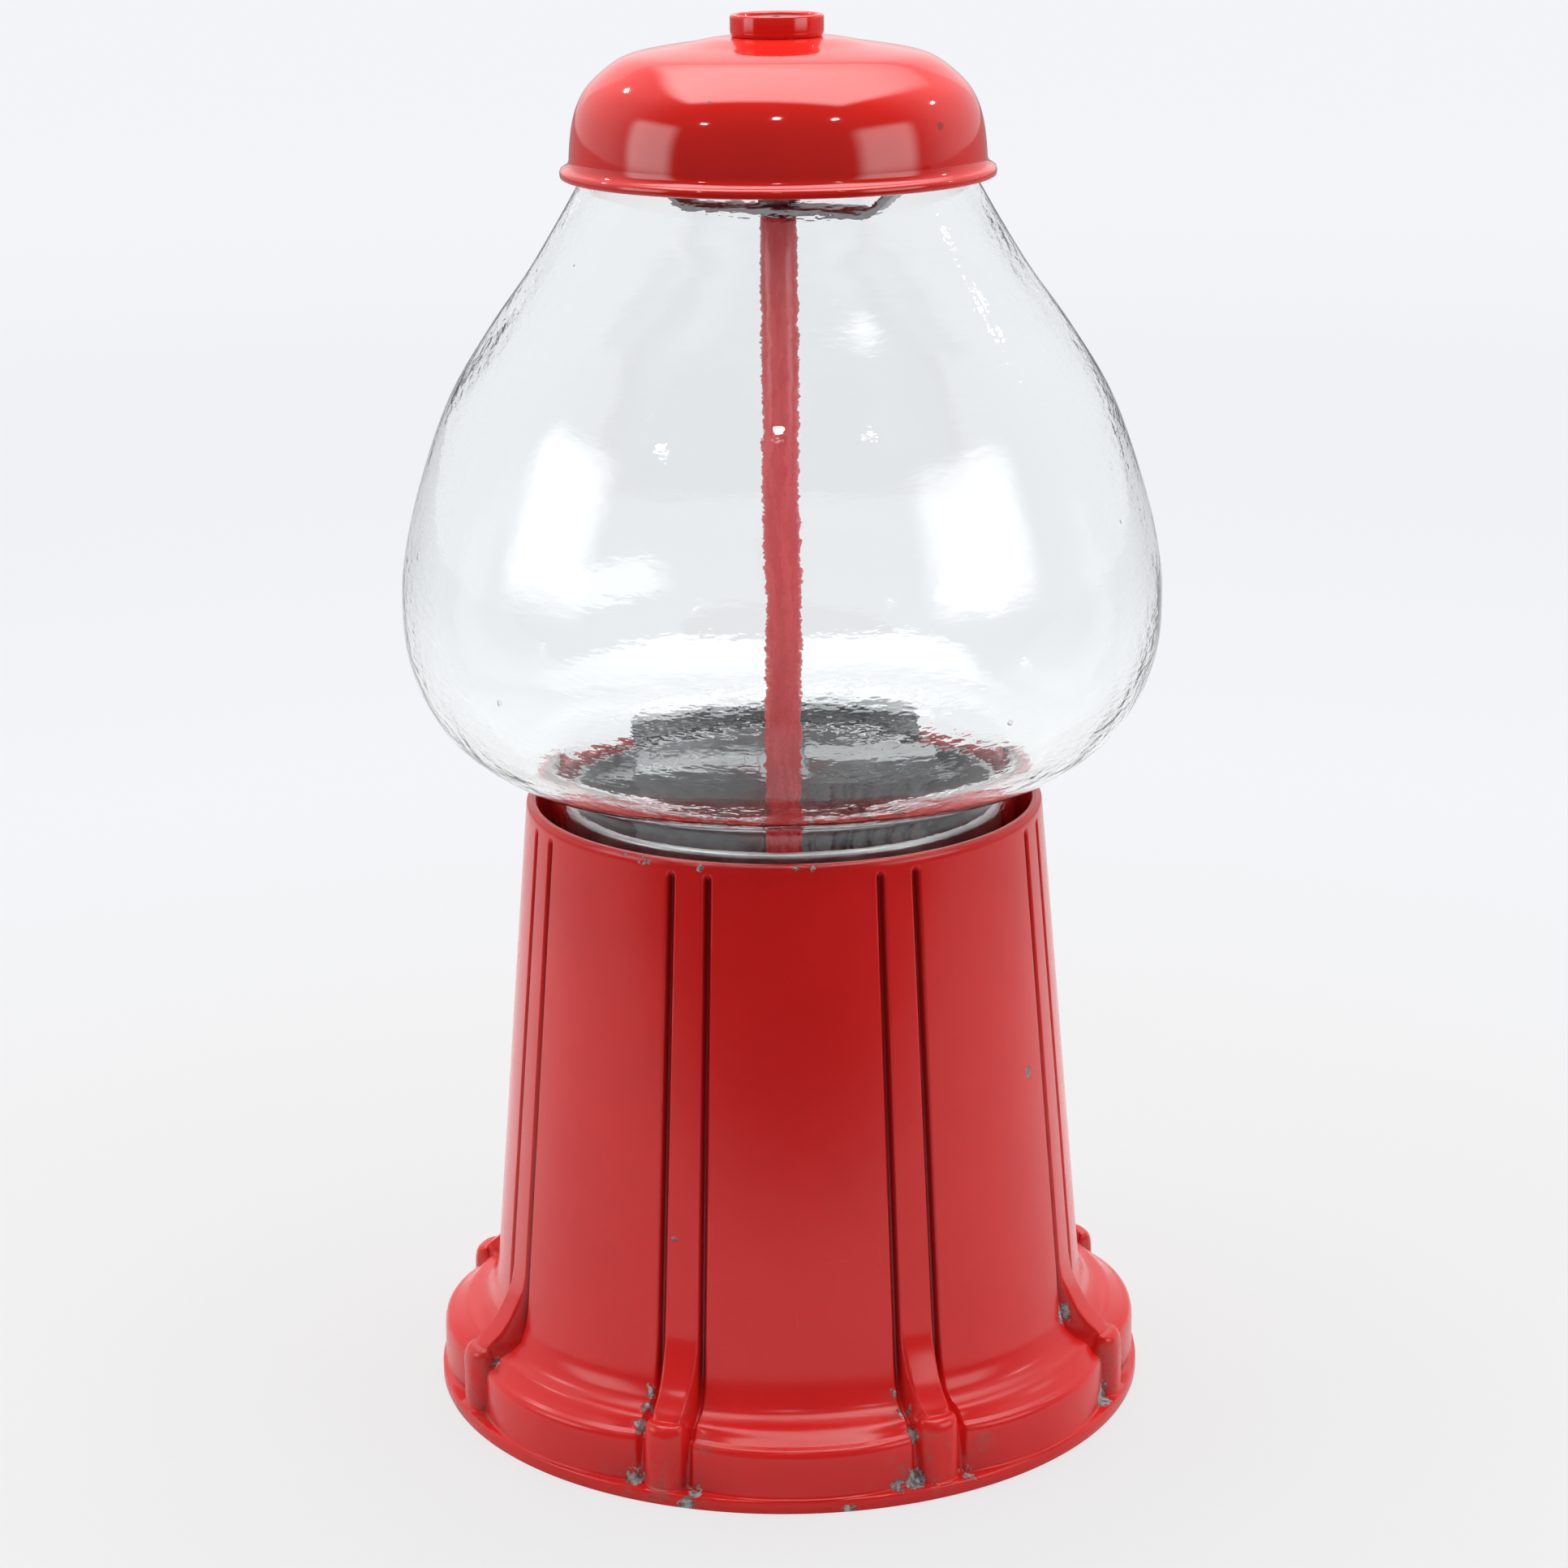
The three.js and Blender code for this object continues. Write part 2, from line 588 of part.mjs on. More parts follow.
function knob() {
  const waist = 6;
  const reach = 25;
  const tipR = 9;
  const outline = new THREE.Shape();
  outline.moveTo(0, waist);
  outline.bezierCurveTo(8, waist, reach - 12, tipR, reach - tipR, tipR);
  outline.absarc(reach - tipR, 0, tipR, Math.PI / 2, -Math.PI / 2, true);
  outline.bezierCurveTo(reach - 12, -tipR, 8, -waist, 0, -waist);
  outline.bezierCurveTo(-8, -waist, 12 - reach, -tipR, tipR - reach, -tipR);
  outline.absarc(tipR - reach, 0, tipR, -Math.PI / 2, -1.5 * Math.PI, true);
  outline.bezierCurveTo(12 - reach, tipR, -8, waist, 0, waist);
  const bevel = { bevelEnabled: true, bevelThickness: 1.6, bevelSize: 1.6, bevelOffset: -1.6, bevelSegments: 1 };
  const wing = new THREE.ExtrudeGeometry(outline, { depth: 5.8, curveSegments: 5, ...bevel });
  wing.rotateX(Math.PI / 2);
  wing.translate(0, KNOB_FRONT + 7.4, SHAFT_Z);
  const hub = rodAlongY(9.6, KNOB_FRONT + 1, FACE_Y - GAP - 2.4, 0, SHAFT_Z);
  const bore = rodAlongY(SHAFT_R + GAP, -100.8, -85, 0, SHAFT_Z);
  return cut(join(solid(wing), hub), bore);
}

function coinCarrier() {
  const disc = rodAlongY(CARRIER_R, -84.2, -81.2, 0, SHAFT_Z, 32);
  const pocket = rodAlongY(COIN_R, -90, -75, 0, SHAFT_Z + CARRIER_R - 7.5);
  return cut(disc, pocket, rodAlongY(SHAFT_R + GAP, -90, -75, 0, SHAFT_Z));
}

function carrierNut() {
  const nut = rodAlongY(8.6, -80.8, -76.4, 0, SHAFT_Z, 6);
  return cut(nut, rodAlongY(SHAFT_R + GAP, -90, -70, 0, SHAFT_Z));
}

function coinGuide() {
  const guide = box(-15.6, 15.6, -84.4, -79.6, SHAFT_Z + CARRIER_R + 0.7, HOUSING_TOP - SHEET - GAP);
  return cut(guide, box(-12.8, 12.8, -84.1, -81.3, 140, 180));
}

function ratchetWheel() {
  const outline = [];
  for (let i = 0; i < RATCHET_TEETH; i += 1) {
    const angle = (-14 * Math.PI) / 180 + (i * 2 * Math.PI) / RATCHET_TEETH;
    outline.push([RATCHET_R * Math.cos(angle), SHAFT_Z + RATCHET_R * Math.sin(angle)]);
    const back = angle + 0.02;
    outline.push([RATCHET_ROOT_R * Math.cos(back), SHAFT_Z + RATCHET_ROOT_R * Math.sin(back)]);
    const ramp = angle + (0.55 * 2 * Math.PI) / RATCHET_TEETH;
    outline.push([(RATCHET_R - 1.4) * Math.cos(ramp), SHAFT_Z + (RATCHET_R - 1.4) * Math.sin(ramp)]);
  }
  return cut(upright(outline, RATCHET_Y, RATCHET_Y + 3), rodAlongY(SHAFT_R + GAP, -70, -50, 0, SHAFT_Z));
}

function pawl() {
  const outline = [
    [PAWL_X - 3.6, PAWL_Z - 1],
    [PAWL_X + 3.6, PAWL_Z + 1],
    [18.4, SHAFT_Z - 0.4],
    [13.7, SHAFT_Z - 1.3],
    [14.3, SHAFT_Z - 2.6],
    [17.6, SHAFT_Z - 5],
  ];
  const eye = rodAlongY(4.4, RATCHET_Y, RATCHET_Y + 2.6, PAWL_X, PAWL_Z, 20);
  const lever = cut(
    join(upright(outline, RATCHET_Y, RATCHET_Y + 2.6), eye),
    rodAlongY(2.1, -70, -50, PAWL_X, PAWL_Z, 16),
  );
  return lever.translate([-PAWL_X, 0, -PAWL_Z]).rotate([0, PAWL_RIDE, 0]).translate([PAWL_X, 0, PAWL_Z]);
}

function pawlPin() {
  const pin = rodAlongY(1.8, -67, -57.3, PAWL_X, PAWL_Z, 16);
  return join(pin, rodAlongY(3, -68, -66.6, PAWL_X, PAWL_Z, 16));
}

function pawlSpring() {
  const coil = cut(rodAlongY(3.6, -65.8, -62.4, PAWL_X, PAWL_Z, 20), rodAlongY(2.2, -70, -60, PAWL_X, PAWL_Z, 16));
  const leg = box(PAWL_X + 2.6, PAWL_X + 3.5, -65.8, -64.8, PAWL_Z - 12, PAWL_Z + 1);
  return join(coil, leg);
}

function pinionOutline() {
  const outline = [];
  const pressure = (25 * Math.PI) / 180;
  const base = PINION_R * Math.cos(pressure);
  const involute = (r) => (r > base ? Math.tan(Math.acos(base / r)) - Math.acos(base / r) : 0);
  const half = (Math.PI * MODULE) / 4 / PINION_R - BACKLASH / 4 / PINION_R;
  const radii = [PINION_R - DEDENDUM, base + 0.05, PINION_R, PINION_R + ADDENDUM / 2, PINION_R + ADDENDUM];
  for (let i = 0; i < PINION_TEETH; i += 1) {
    const middle = Math.PI / 2 + (i * 2 * Math.PI) / PINION_TEETH;
    const flank = radii.map((r) => [r, half + involute(PINION_R) - involute(r)]);
    for (const [r, a] of flank) outline.push([r * Math.cos(middle - a), SHAFT_Z + r * Math.sin(middle - a)]);
    for (const [r, a] of flank.reverse()) {
      outline.push([r * Math.cos(middle + a), SHAFT_Z + r * Math.sin(middle + a)]);
    }
  }
  return outline;
}

function pinion() {
  const y = -CROWN_R - FACE_WIDTH / 2;
  const gear = upright(pinionOutline(), y, y + FACE_WIDTH);
  return cut(gear, rodAlongY(SHAFT_END_R + GAP, -60, -40, 0, SHAFT_Z));
}

function bearingPlate() {
  const half = HOUSING_X - SHEET - GAP;
  const plate = box(-half, half, -57, -54, 96, 133);
  return cut(plate, rodAlongY(SHAFT_R + GAP, -60, -50, 0, SHAFT_Z));
}

// ---------------------------------------------------------------- chute and its door
function ballChute() {
  const mouth = FACE_Y + FACE_T + 0.4;
  const outer = [[-20.5, 50], [-20.5, 80], [-45.5, 80], [mouth, 63], [mouth, 35]];
  const inner = [[-22.5, 52.6], [-22.5, 70], [-43.5, 78], [mouth - 2, 60.4], [mouth - 2, 37]];
  const down = rodAlongZ(POCKET_R + 2.5, 70, 128.4, 0, -POCKET_CIRCLE);
  const bore = rodAlongZ(POCKET_R + 0.6, 60, 140, 0, -POCKET_CIRCLE);
  return cut(join(sideways(outer, -12.3, 12.3), down), sideways(inner, -10.6, 10.6), bore);
}

function chuteFrame() {
  const y = FACE_Y - GAP;
  const frame = cut(box(-18, 18, y - 4, y, 31.5, 68), box(-12.7, 12.7, -100, -80, 36.4, 64));
  return cut(frame, rodAlongX(1.2, -16, 16, DOOR_PIN_Y, DOOR_PIN_Z));
}

function doorPin() {
  return rodAlongX(0.9, -15.6, 15.6, DOOR_PIN_Y, DOOR_PIN_Z, 14);
}

function chuteDoor() {
  const leaf = box(-12.3, 12.3, DOOR_PIN_Y - 0.8, DOOR_PIN_Y + 0.8, 36.9, DOOR_PIN_Z - 0.4);
  const knuckle = rodAlongX(1.9, -12.3, 12.3, DOOR_PIN_Y, DOOR_PIN_Z);
  const pull = box(-8, 8, DOOR_PIN_Y - 4.4, DOOR_PIN_Y - 0.4, 37.2, 39.6);
  return cut(join(leaf, knuckle, pull), rodAlongX(1.2, -20, 20, DOOR_PIN_Y, DOOR_PIN_Z));
}

// ---------------------------------------------------------------- materials and assembly
function finish(color, roughness, metalness, opacity = 1) {
  const look = { color, roughness, metalness };
  if (opacity < 1) Object.assign(look, { opacity, transparent: true });
  return () => new THREE.MeshStandardMaterial(look);
}

const RED_ENAMEL = finish(0xb82420, 0.25, 0);
const ZINC = finish(0x8d9092, 0.5, 0.9);
const CHROME = finish(0xc9ccd0, 0.12, 1);
const STEEL = finish(0x9a9da0, 0.35, 1);
const BRASS = finish(0xb08d4a, 0.35, 1);
const CLEAR_GLASS = finish(0xeef2f0, 0.03, 0, 0.3);
const BLACK_RUBBER = finish(0x1c1c1d, 0.8, 0);

const group = new THREE.Group();

function add(name, piece, look) {
  const mesh = piece.getMesh();
  const geometry = new THREE.BufferGeometry();
  geometry.setAttribute('position', new THREE.BufferAttribute(new Float32Array(mesh.vertProperties), 3));
  geometry.setIndex(new THREE.BufferAttribute(new Uint32Array(mesh.triVerts), 1));
  geometry.computeVertexNormals();
  const part = new THREE.Mesh(geometry, look());
  part.name = name;
  group.add(part);
}

add('pedestal_shell', pedestalShell(), RED_ENAMEL);
add('base_plate', basePlate(), STEEL);
add('rod_washer', rodWasher(), STEEL);
add('base_nut', baseNut(), STEEL);
add('spacer_tube', spacerTube(), STEEL);
add('centre_rod', centreRod(), RED_ENAMEL);
add('glass_globe', glassGlobe(), CLEAR_GLASS);
add('globe_gasket', globeGasket(), BLACK_RUBBER);
add('globe_bracket', globeBracket(), ZINC);
add('bracket_nut', bracketNut(), STEEL);
add('lid', lidDome(), RED_ENAMEL);
add('lid_collar', lidCollar(), RED_ENAMEL);
add('collar_nut', collarNut(), STEEL);
add('lock_core', lockCore(), STEEL);
add('hopper', hopper(), ZINC);
add('ball_guard', ballGuard(), ZINC);
add('dispensing_wheel', dispensingWheel(), ZINC);
add('drop_plate', dropPlate(), ZINC);
add('mechanism_housing', mechanismHousing(), ZINC);
add('face_plate', facePlate(), CHROME);
screwPlaces().forEach((place, i) => add(`face_plate_screw_${i + 1}`, facePlateScrew(place), STEEL));
add('knob_escutcheon', knobEscutcheon(), CHROME);
add('front_bushing', frontBushing(), BRASS);
add('coin_shaft', coinShaft(), STEEL);
add('knob', knob(), CHROME);
add('coin_carrier', coinCarrier(), ZINC);
add('carrier_nut', carrierNut(), STEEL);
add('coin_guide', coinGuide(), ZINC);
add('ratchet_wheel', ratchetWheel(), STEEL);
add('pawl', pawl(), STEEL);
add('pawl_pin', pawlPin(), STEEL);
add('pawl_spring', pawlSpring(), STEEL);
add('pinion', pinion(), BRASS);
add('bearing_plate', bearingPlate(), STEEL);
add('ball_chute', ballChute(), ZINC);
add('chute_frame', chuteFrame(), CHROME);
add('door_pin', doorPin(), STEEL);
add('chute_door', chuteDoor(), CHROME);

export default group;
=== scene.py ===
"""The looks of a table-top gumball machine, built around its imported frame.

Metres, +Z up, origin on the floor under the centre rod; the coin mechanism faces -Y.
Profiles are written in millimetres and scaled by MM when they become a mesh.
"""
import json
import math

import bmesh
import bpy
import numpy as np
from mathutils import Matrix, Vector


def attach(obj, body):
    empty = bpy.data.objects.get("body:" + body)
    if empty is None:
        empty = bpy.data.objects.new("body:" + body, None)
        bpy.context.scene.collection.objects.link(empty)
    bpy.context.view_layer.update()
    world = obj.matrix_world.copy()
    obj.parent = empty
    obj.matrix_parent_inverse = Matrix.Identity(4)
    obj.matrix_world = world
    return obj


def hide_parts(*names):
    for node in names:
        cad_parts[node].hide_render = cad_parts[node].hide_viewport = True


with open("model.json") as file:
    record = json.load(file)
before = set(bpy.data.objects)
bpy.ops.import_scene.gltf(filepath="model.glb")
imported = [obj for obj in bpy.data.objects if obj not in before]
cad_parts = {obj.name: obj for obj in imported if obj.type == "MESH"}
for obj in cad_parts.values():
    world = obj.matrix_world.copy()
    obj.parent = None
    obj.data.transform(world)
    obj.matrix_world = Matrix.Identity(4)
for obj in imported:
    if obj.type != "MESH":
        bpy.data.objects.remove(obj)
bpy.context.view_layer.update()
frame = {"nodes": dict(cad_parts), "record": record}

MM = 0.001
PANELS = 8
PANEL_ANGLE = 2 * math.pi / PANELS
RIB_PHASE = PANEL_ANGLE / 2          # the first rib stands half a panel round from +X
GROOVE_ANGLE = math.radians(4.1)     # each groove, from the middle of its rib
CONE_FOOT = (86.4, 28.0)             # radius and height of the cone's foot
CONE_RIM = (74.0, 171.5)
RIM_Z = 175.9
LOBE_R = 102.3                       # foot wall at the middle of a panel
LOBE_IN_R = 97.2                     # foot wall beside a rib
BOSS_R = 6.4                         # half the width of a rib's boss on the foot
SHAFT_Z = 123.8                      # height of the knob's axis
HOUSING_X = 44.7
HOUSING_Z = (26.0, 178.0)
FACE_Y = -88.0
DOOR_PIN = (-90.4, 61.0)             # y and z of the chute door's pin
BRACKET_TURN = math.radians(-23)
GROOVE_HALF = 1.55                   # half a groove's width, and its depth
GROOVE_DEPTH = 1.9
GLASS_WALL = 3.2
LID_WALL = 1.3
ROD_R = 5.15
KNOB_Y = -102.3                      # the middle of the knob's handle
WING_X = 25.0                        # half the handle's length
SCREW_HOLE_R = 2.1
SCREW_PLACES = [(x, z) for x in (-38.2, 38.2) for z in (33, 170)]


# -------- mesh tools
def placed(name, data):
    """A new object in the scene."""
    made = bpy.data.objects.new(name, data)
    bpy.context.scene.collection.objects.link(made)
    return made


def mesh_object(name, points, faces):
    """One mesh object from an array of points and an array of faces with equal corner counts."""
    mesh = bpy.data.meshes.new(name)
    points = np.asarray(points, np.float32).reshape(-1, 3)
    corners = faces.shape[1]
    mesh.vertices.add(len(points))
    mesh.vertices.foreach_set("co", points.ravel())
    mesh.loops.add(faces.size)
    mesh.loops.foreach_set("vertex_index", faces.ravel().astype(np.int32))
    mesh.polygons.add(len(faces))
    mesh.polygons.foreach_set("loop_start", np.arange(len(faces), dtype=np.int32) * corners)
    mesh.update(calc_edges=True)
    return placed(name, mesh)


def close_up(piece, fill=False, crease=35):
    """Merges doubled points, closes open ends if asked, points faces outwards and shades smoothly."""
    work = bmesh.new()
    work.from_mesh(piece.data)
    bmesh.ops.remove_doubles(work, verts=work.verts, dist=1e-6)
    bmesh.ops.dissolve_degenerate(work, dist=1e-7, edges=work.edges)
    if fill:
        bmesh.ops.holes_fill(work, edges=[e for e in work.edges if e.is_boundary])
    bmesh.ops.recalc_face_normals(work, faces=work.faces)
    if work.calc_volume(signed=True) < 0:
        bmesh.ops.reverse_faces(work, faces=work.faces)
    work.to_mesh(piece.data)
    work.free()
    piece.data.shade_smooth()
    piece.data.set_sharp_from_angle(angle=math.radians(crease))
    return piece


def sheet_of(name, grid, wrap_u=False, wrap_v=False, fill=False, crease=35):
    """A grid of points, rows by columns, in millimetres, as a quad mesh; either way round may wrap."""
    rows, columns = grid.shape[:2]
    u, v = np.meshgrid(
        np.arange(rows if wrap_u else rows - 1), np.arange(columns if wrap_v else columns - 1), indexing="ij"
    )
    next_u, next_v = (u + 1) % rows, (v + 1) % columns
    faces = np.stack([u * columns + v, next_u * columns + v, next_u * columns + next_v, u * columns + next_v], -1)
    return close_up(mesh_object(name, grid * MM, faces.reshape(-1, 4)), fill, crease)


def fillet(outline, radius, steps=4, closed=True):
    """An outline with its corners rounded: each corner becomes a parabola arc of about that radius."""
    points = np.asarray(outline, float)
    radii = np.broadcast_to(radius, len(points))
    result = []
    for i, (corner, r) in enumerate(zip(points, radii)):
        if r <= 0 or (not closed and i in (0, len(points) - 1)):
            result.append(corner[None])
            continue
        before, after = points[i - 1] - corner, points[(i + 1) % len(points)] - corner
        reach = min(r, 0.48 * np.linalg.norm(before), 0.48 * np.linalg.norm(after))
        start = corner + before / np.linalg.norm(before) * reach
        end = corner + after / np.linalg.norm(after) * reach
        t = np.linspace(0, 1, steps + 1)[:, None]
        result.append((1 - t) ** 2 * start + 2 * t * (1 - t) * corner + t**2 * end)
    return np.concatenate(result)


def spline(points, count):
    """A smooth line through the points, a Catmull-Rom curve, resampled to even steps along its length."""
    p = np.asarray(points, float)
    p = np.vstack([2 * p[0] - p[1], p, 2 * p[-1] - p[-2]])
    t = np.linspace(0, 1, 24, endpoint=False)[None, :, None]
    a, b, c, d = p[:-3, None], p[1:-2, None], p[2:-1, None], p[3:, None]
    line = 0.5 * (2 * b + (c - a) * t + (2 * a - 5 * b + 4 * c - d) * t**2 + (3 * b - a - 3 * c + d) * t**3)
    line = np.vstack([line.reshape(-1, p.shape[1]), p[-2]])
    along = np.concatenate([[0], np.cumsum(np.linalg.norm(np.diff(line, axis=0), axis=1))])
    even = np.linspace(0, along[-1], count)
    return np.stack([np.interp(even, along, line[:, k]) for k in range(p.shape[1])], -1)


def normals_of(line):
    """Unit normals to the right of a line of [radius, height] points as it is walked."""
    step = np.gradient(np.asarray(line, float), axis=0)
    step /= np.linalg.norm(step, axis=1)[:, None] + 1e-12
    return np.stack([step[:, 1], -step[:, 0]], -1)


def full_turn(count):
    return np.linspace(0, 2 * np.pi, count, endpoint=False)


def turned(name, outline, segments=96, closed=True, axis="Z", centre=(0, 0, 0), crease=35):
    """A lathed piece: each [radius, height] point of the outline runs round the axis."""
    outline = np.asarray(outline, float)
    angle = full_turn(segments)
    r, h = outline[:, 0][:, None], outline[:, 1][:, None]
    a, b, c = r * np.cos(angle), r * np.sin(angle), h + 0 * angle
    grid = {"Z": (a, b, c), "Y": (a, c, -b), "X": (c, a, b)}[axis]
    return sheet_of(name, np.stack(grid, -1) + np.array(centre), closed, True, crease=crease)


def block(name, low, high, radius, steps=3):
    """A box with rounded edges: a cube's grid, each point held inside the box less the radius, then
    pushed out by the radius along its own direction from there."""
    low, high = np.array(low, float), np.array(high, float)
    half, centre = (high - low) / 2, (high + low) / 2
    radius = min(radius, 0.49 * 2 * half.min())
    turn = np.tan(np.linspace(-np.pi / 4, np.pi / 4, 2 * steps + 1))
    pieces = []
    for side in range(3):
        for sign in (-1, 1):
            u, v = np.meshgrid(turn, turn, indexing="ij")
            direction = np.empty(u.shape + (3,))
            direction[..., side] = sign
            direction[..., (side + 1) % 3] = u
            direction[..., (side + 2) % 3] = v * sign
            unit = direction / np.linalg.norm(direction, axis=-1)[..., None]
            inner = np.sign(np.round(direction, 6)) * (half - radius)
            pieces.append(centre + inner + radius * unit)
    rows = 2 * steps + 1
    u, v = np.meshgrid(np.arange(rows - 1), np.arange(rows - 1), indexing="ij")
    quad = np.stack([u * rows + v, (u + 1) * rows + v, (u + 1) * rows + v + 1, u * rows + v + 1], -1).reshape(-1, 4)
    faces = np.concatenate([quad + k * rows * rows for k in range(6)])
    return close_up(mesh_object(name, np.concatenate([p.reshape(-1, 3) for p in pieces]) * MM, faces))


def plate(name, outlines, y_front, y_back, edge=0.4):
    """A flat plate facing -Y with soft edges, from closed [x, z] outlines; inner ones are holes."""
    curve = bpy.data.curves.new(name, "CURVE")
    curve.dimensions, curve.fill_mode = "2D", "BOTH"
    curve.extrude = (y_back - y_front) / 2 * MM - edge * MM
    curve.bevel_depth, curve.offset, curve.bevel_resolution = edge * MM, -edge * MM, 2
    for outline in outlines:
        line = curve.splines.new("POLY")
        line.points.add(len(outline) - 1)
        flat = np.zeros((len(outline), 4))
        flat[:, :2] = np.asarray(outline) * MM
        flat[:, 3] = 1
        line.points.foreach_set("co", flat.ravel())
        line.use_cyclic_u = True
    drawn = placed(name, curve)
    mesh = bpy.data.meshes.new_from_object(drawn.evaluated_get(bpy.context.evaluated_depsgraph_get()))
    bpy.data.objects.remove(drawn)
    mesh.transform(Matrix.Translation((0, (y_front + y_back) / 2 * MM, 0)) @ Matrix.Rotation(math.pi / 2, 4, "X"))
    mesh.name = name
    return close_up(placed(name, mesh))


def ring_of(radius, centre=(0, 0), count=48):
    """A circle of [x, z] points."""
    angle = full_turn(count)
    return np.stack([centre[0] + radius * np.cos(angle), centre[1] + radius * np.sin(angle)], -1)


def swept(name, section, x_range):
    """A closed [y, z] section drawn along X and closed at both ends."""
    section = np.asarray(section, float)
    x = np.array(x_range, float)[:, None]
    y, z = section[:, 0][None] + 0 * x, section[:, 1][None] + 0 * x
    return sheet_of(name, np.stack([x + 0 * y, y, z], -1), False, True, fill=True)


def soften(piece, width):
    """Rounds a piece's edges with a Bevel modifier and applies it."""
    bevel = piece.modifiers.new("soft_edge", "BEVEL")
    bevel.width, bevel.segments, bevel.angle_limit = width * MM, 2, math.radians(40)
    return settle(piece)


def settle(piece):
    """Applies a piece's modifiers to its mesh."""
    ready = piece.evaluated_get(bpy.context.evaluated_depsgraph_get())
    mesh = bpy.data.meshes.new_from_object(ready)
    piece.modifiers.clear()
    piece.data = mesh
    mesh.name = piece.name
    return close_up(piece)


def combine(piece, others, operation):
    """Cuts the other pieces from a piece, or joins them to it, and takes them away."""
    for other in others:
        step = piece.modifiers.new(operation, "BOOLEAN")
        step.operation, step.solver, step.object = operation, "MANIFOLD", other
    settle(piece)
    for other in others:
        bpy.data.objects.remove(other)
    return piece


def cut(piece, *others):
    return combine(piece, others, "DIFFERENCE")


def join(piece, *others):
    return combine(piece, others, "UNION")


def plain_box(low, high):
    """A sharp box to cut with."""
    return block("cutter", low, high, 0.01, 1)


def drill(radius, low, high, axis="Y", centre=(0, 0, 0), segments=48):
    """A round rod to cut with, or a plain pin."""
    outline = [(0, low), (radius, low), (radius, high), (0, high)]
    return turned("cutter", outline, segments, False, axis, centre)


# -------- shader tools
class Nodes:
    """Adds nodes to a tree; an input may be a plain value or another node's socket."""

    def __init__(self, tree):
        self.tree = tree

    def add(self, kind, inputs=None, **settings):
        node = self.tree.nodes.new("ShaderNode" + kind)
        for key, value in settings.items():
            setattr(node, key, value)
        for key, value in (inputs or {}).items():
            if isinstance(value, bpy.types.NodeSocket):
                self.tree.links.new(value, node.inputs[key])
            else:
                node.inputs[key].default_value = value
        return node

    def math(self, operation, a, b=0.0, c=0.0, clamp=False):
        return self.add("Math", {0: a, 1: b, 2: c}, operation=operation, use_clamp=clamp).outputs[0]

    def times(self, a, b, clamp=False):
        return self.math("MULTIPLY", a, b, clamp=clamp)

    def minus(self, a, b):
        return self.math("SUBTRACT", a, b)

    def mix(self, factor, a, b):
        return self.add("Mix", {0: factor, 6: a, 7: b}, data_type="RGBA").outputs[2]

    def ramp(self, value, low, high, out_low=0.0, out_high=1.0):
        """Spreads low..high smoothly over the two outputs."""
        inputs = {0: value, 1: low, 2: high, 3: out_low, 4: out_high}
        return self.add("MapRange", inputs, interpolation_type="SMOOTHSTEP").outputs[0]

    def noise(self, vector, scale, detail=3.0, roughness=0.5, distortion=0.0):
        return self.add("TexNoise", {"Vector": vector, "Scale": scale, "Detail": detail, "Roughness": roughness,
                                     "Distortion": distortion}).outputs[0]

    def part(self, vector, index):
        return self.add("SeparateXYZ", {0: vector}).outputs[index]

    def stretched(self, vector, scale):
        return self.add("Mapping", {"Vector": vector, "Scale": scale}).outputs[0]


def fresh_nodes(owner):
    """The emptied node tree of a material, a world or a light, as Nodes."""
    owner.use_nodes = True
    owner.node_tree.nodes.clear()
    return Nodes(owner.node_tree)


def effect(build, outputs, **numbers):
    """A shader node group, built once: build gets its Nodes and its input sockets and returns its outputs."""
    tree = bpy.data.node_groups.new(build.__name__, "ShaderNodeTree")
    tree.interface.new_socket("Vector", in_out="INPUT", socket_type="NodeSocketVector")
    for label, default in numbers.items():
        tree.interface.new_socket(label, in_out="INPUT", socket_type="NodeSocketFloat").default_value = default
    for label in outputs:
        tree.interface.new_socket(label, in_out="OUTPUT", socket_type="NodeSocketFloat")
    entry, leave = tree.nodes.new("NodeGroupInput"), tree.nodes.new("NodeGroupOutput")
    for label, value in zip(outputs, build(Nodes(tree), entry.outputs)):
        tree.links.new(value, leave.inputs[label])
    return tree


def orange_peel(n, i):
    """Orange peel: two noises, a fine pebble and a slow sag, added as height in metres."""
    fine = n.noise(i["Vector"], i["Scale"], 2.0, 0.5)
    slow = n.noise(i["Vector"], n.times(i["Scale"], 0.12), 1.0, 0.4)
    fine = n.times(n.minus(fine, 0.5), i["Fine"])
    return [n.math("ADD", fine, n.times(n.minus(slow, 0.5), i["Slow"]))]


def speckle(n, i):
    """Small scattered spots: Voronoi cells whose distance is under a size that differs from cell to cell."""
    wobble = n.noise(i["Vector"], n.times(i["Scale"], 4.0), 2.0)
    cells = n.add("TexVoronoi", {"Vector": i["Vector"], "Scale": i["Scale"]})
    size = n.add("TexWhiteNoise", {"Vector": cells.outputs["Position"]}, noise_dimensions="3D").outputs[0]
    size = n.times(n.math("POWER", size, 6.0), i["Size"])
    distance = n.math("MULTIPLY_ADD", n.minus(wobble, 0.5), 0.25, cells.outputs["Distance"])
    return [n.ramp(n.minus(size, distance), 0.0, 0.04)]


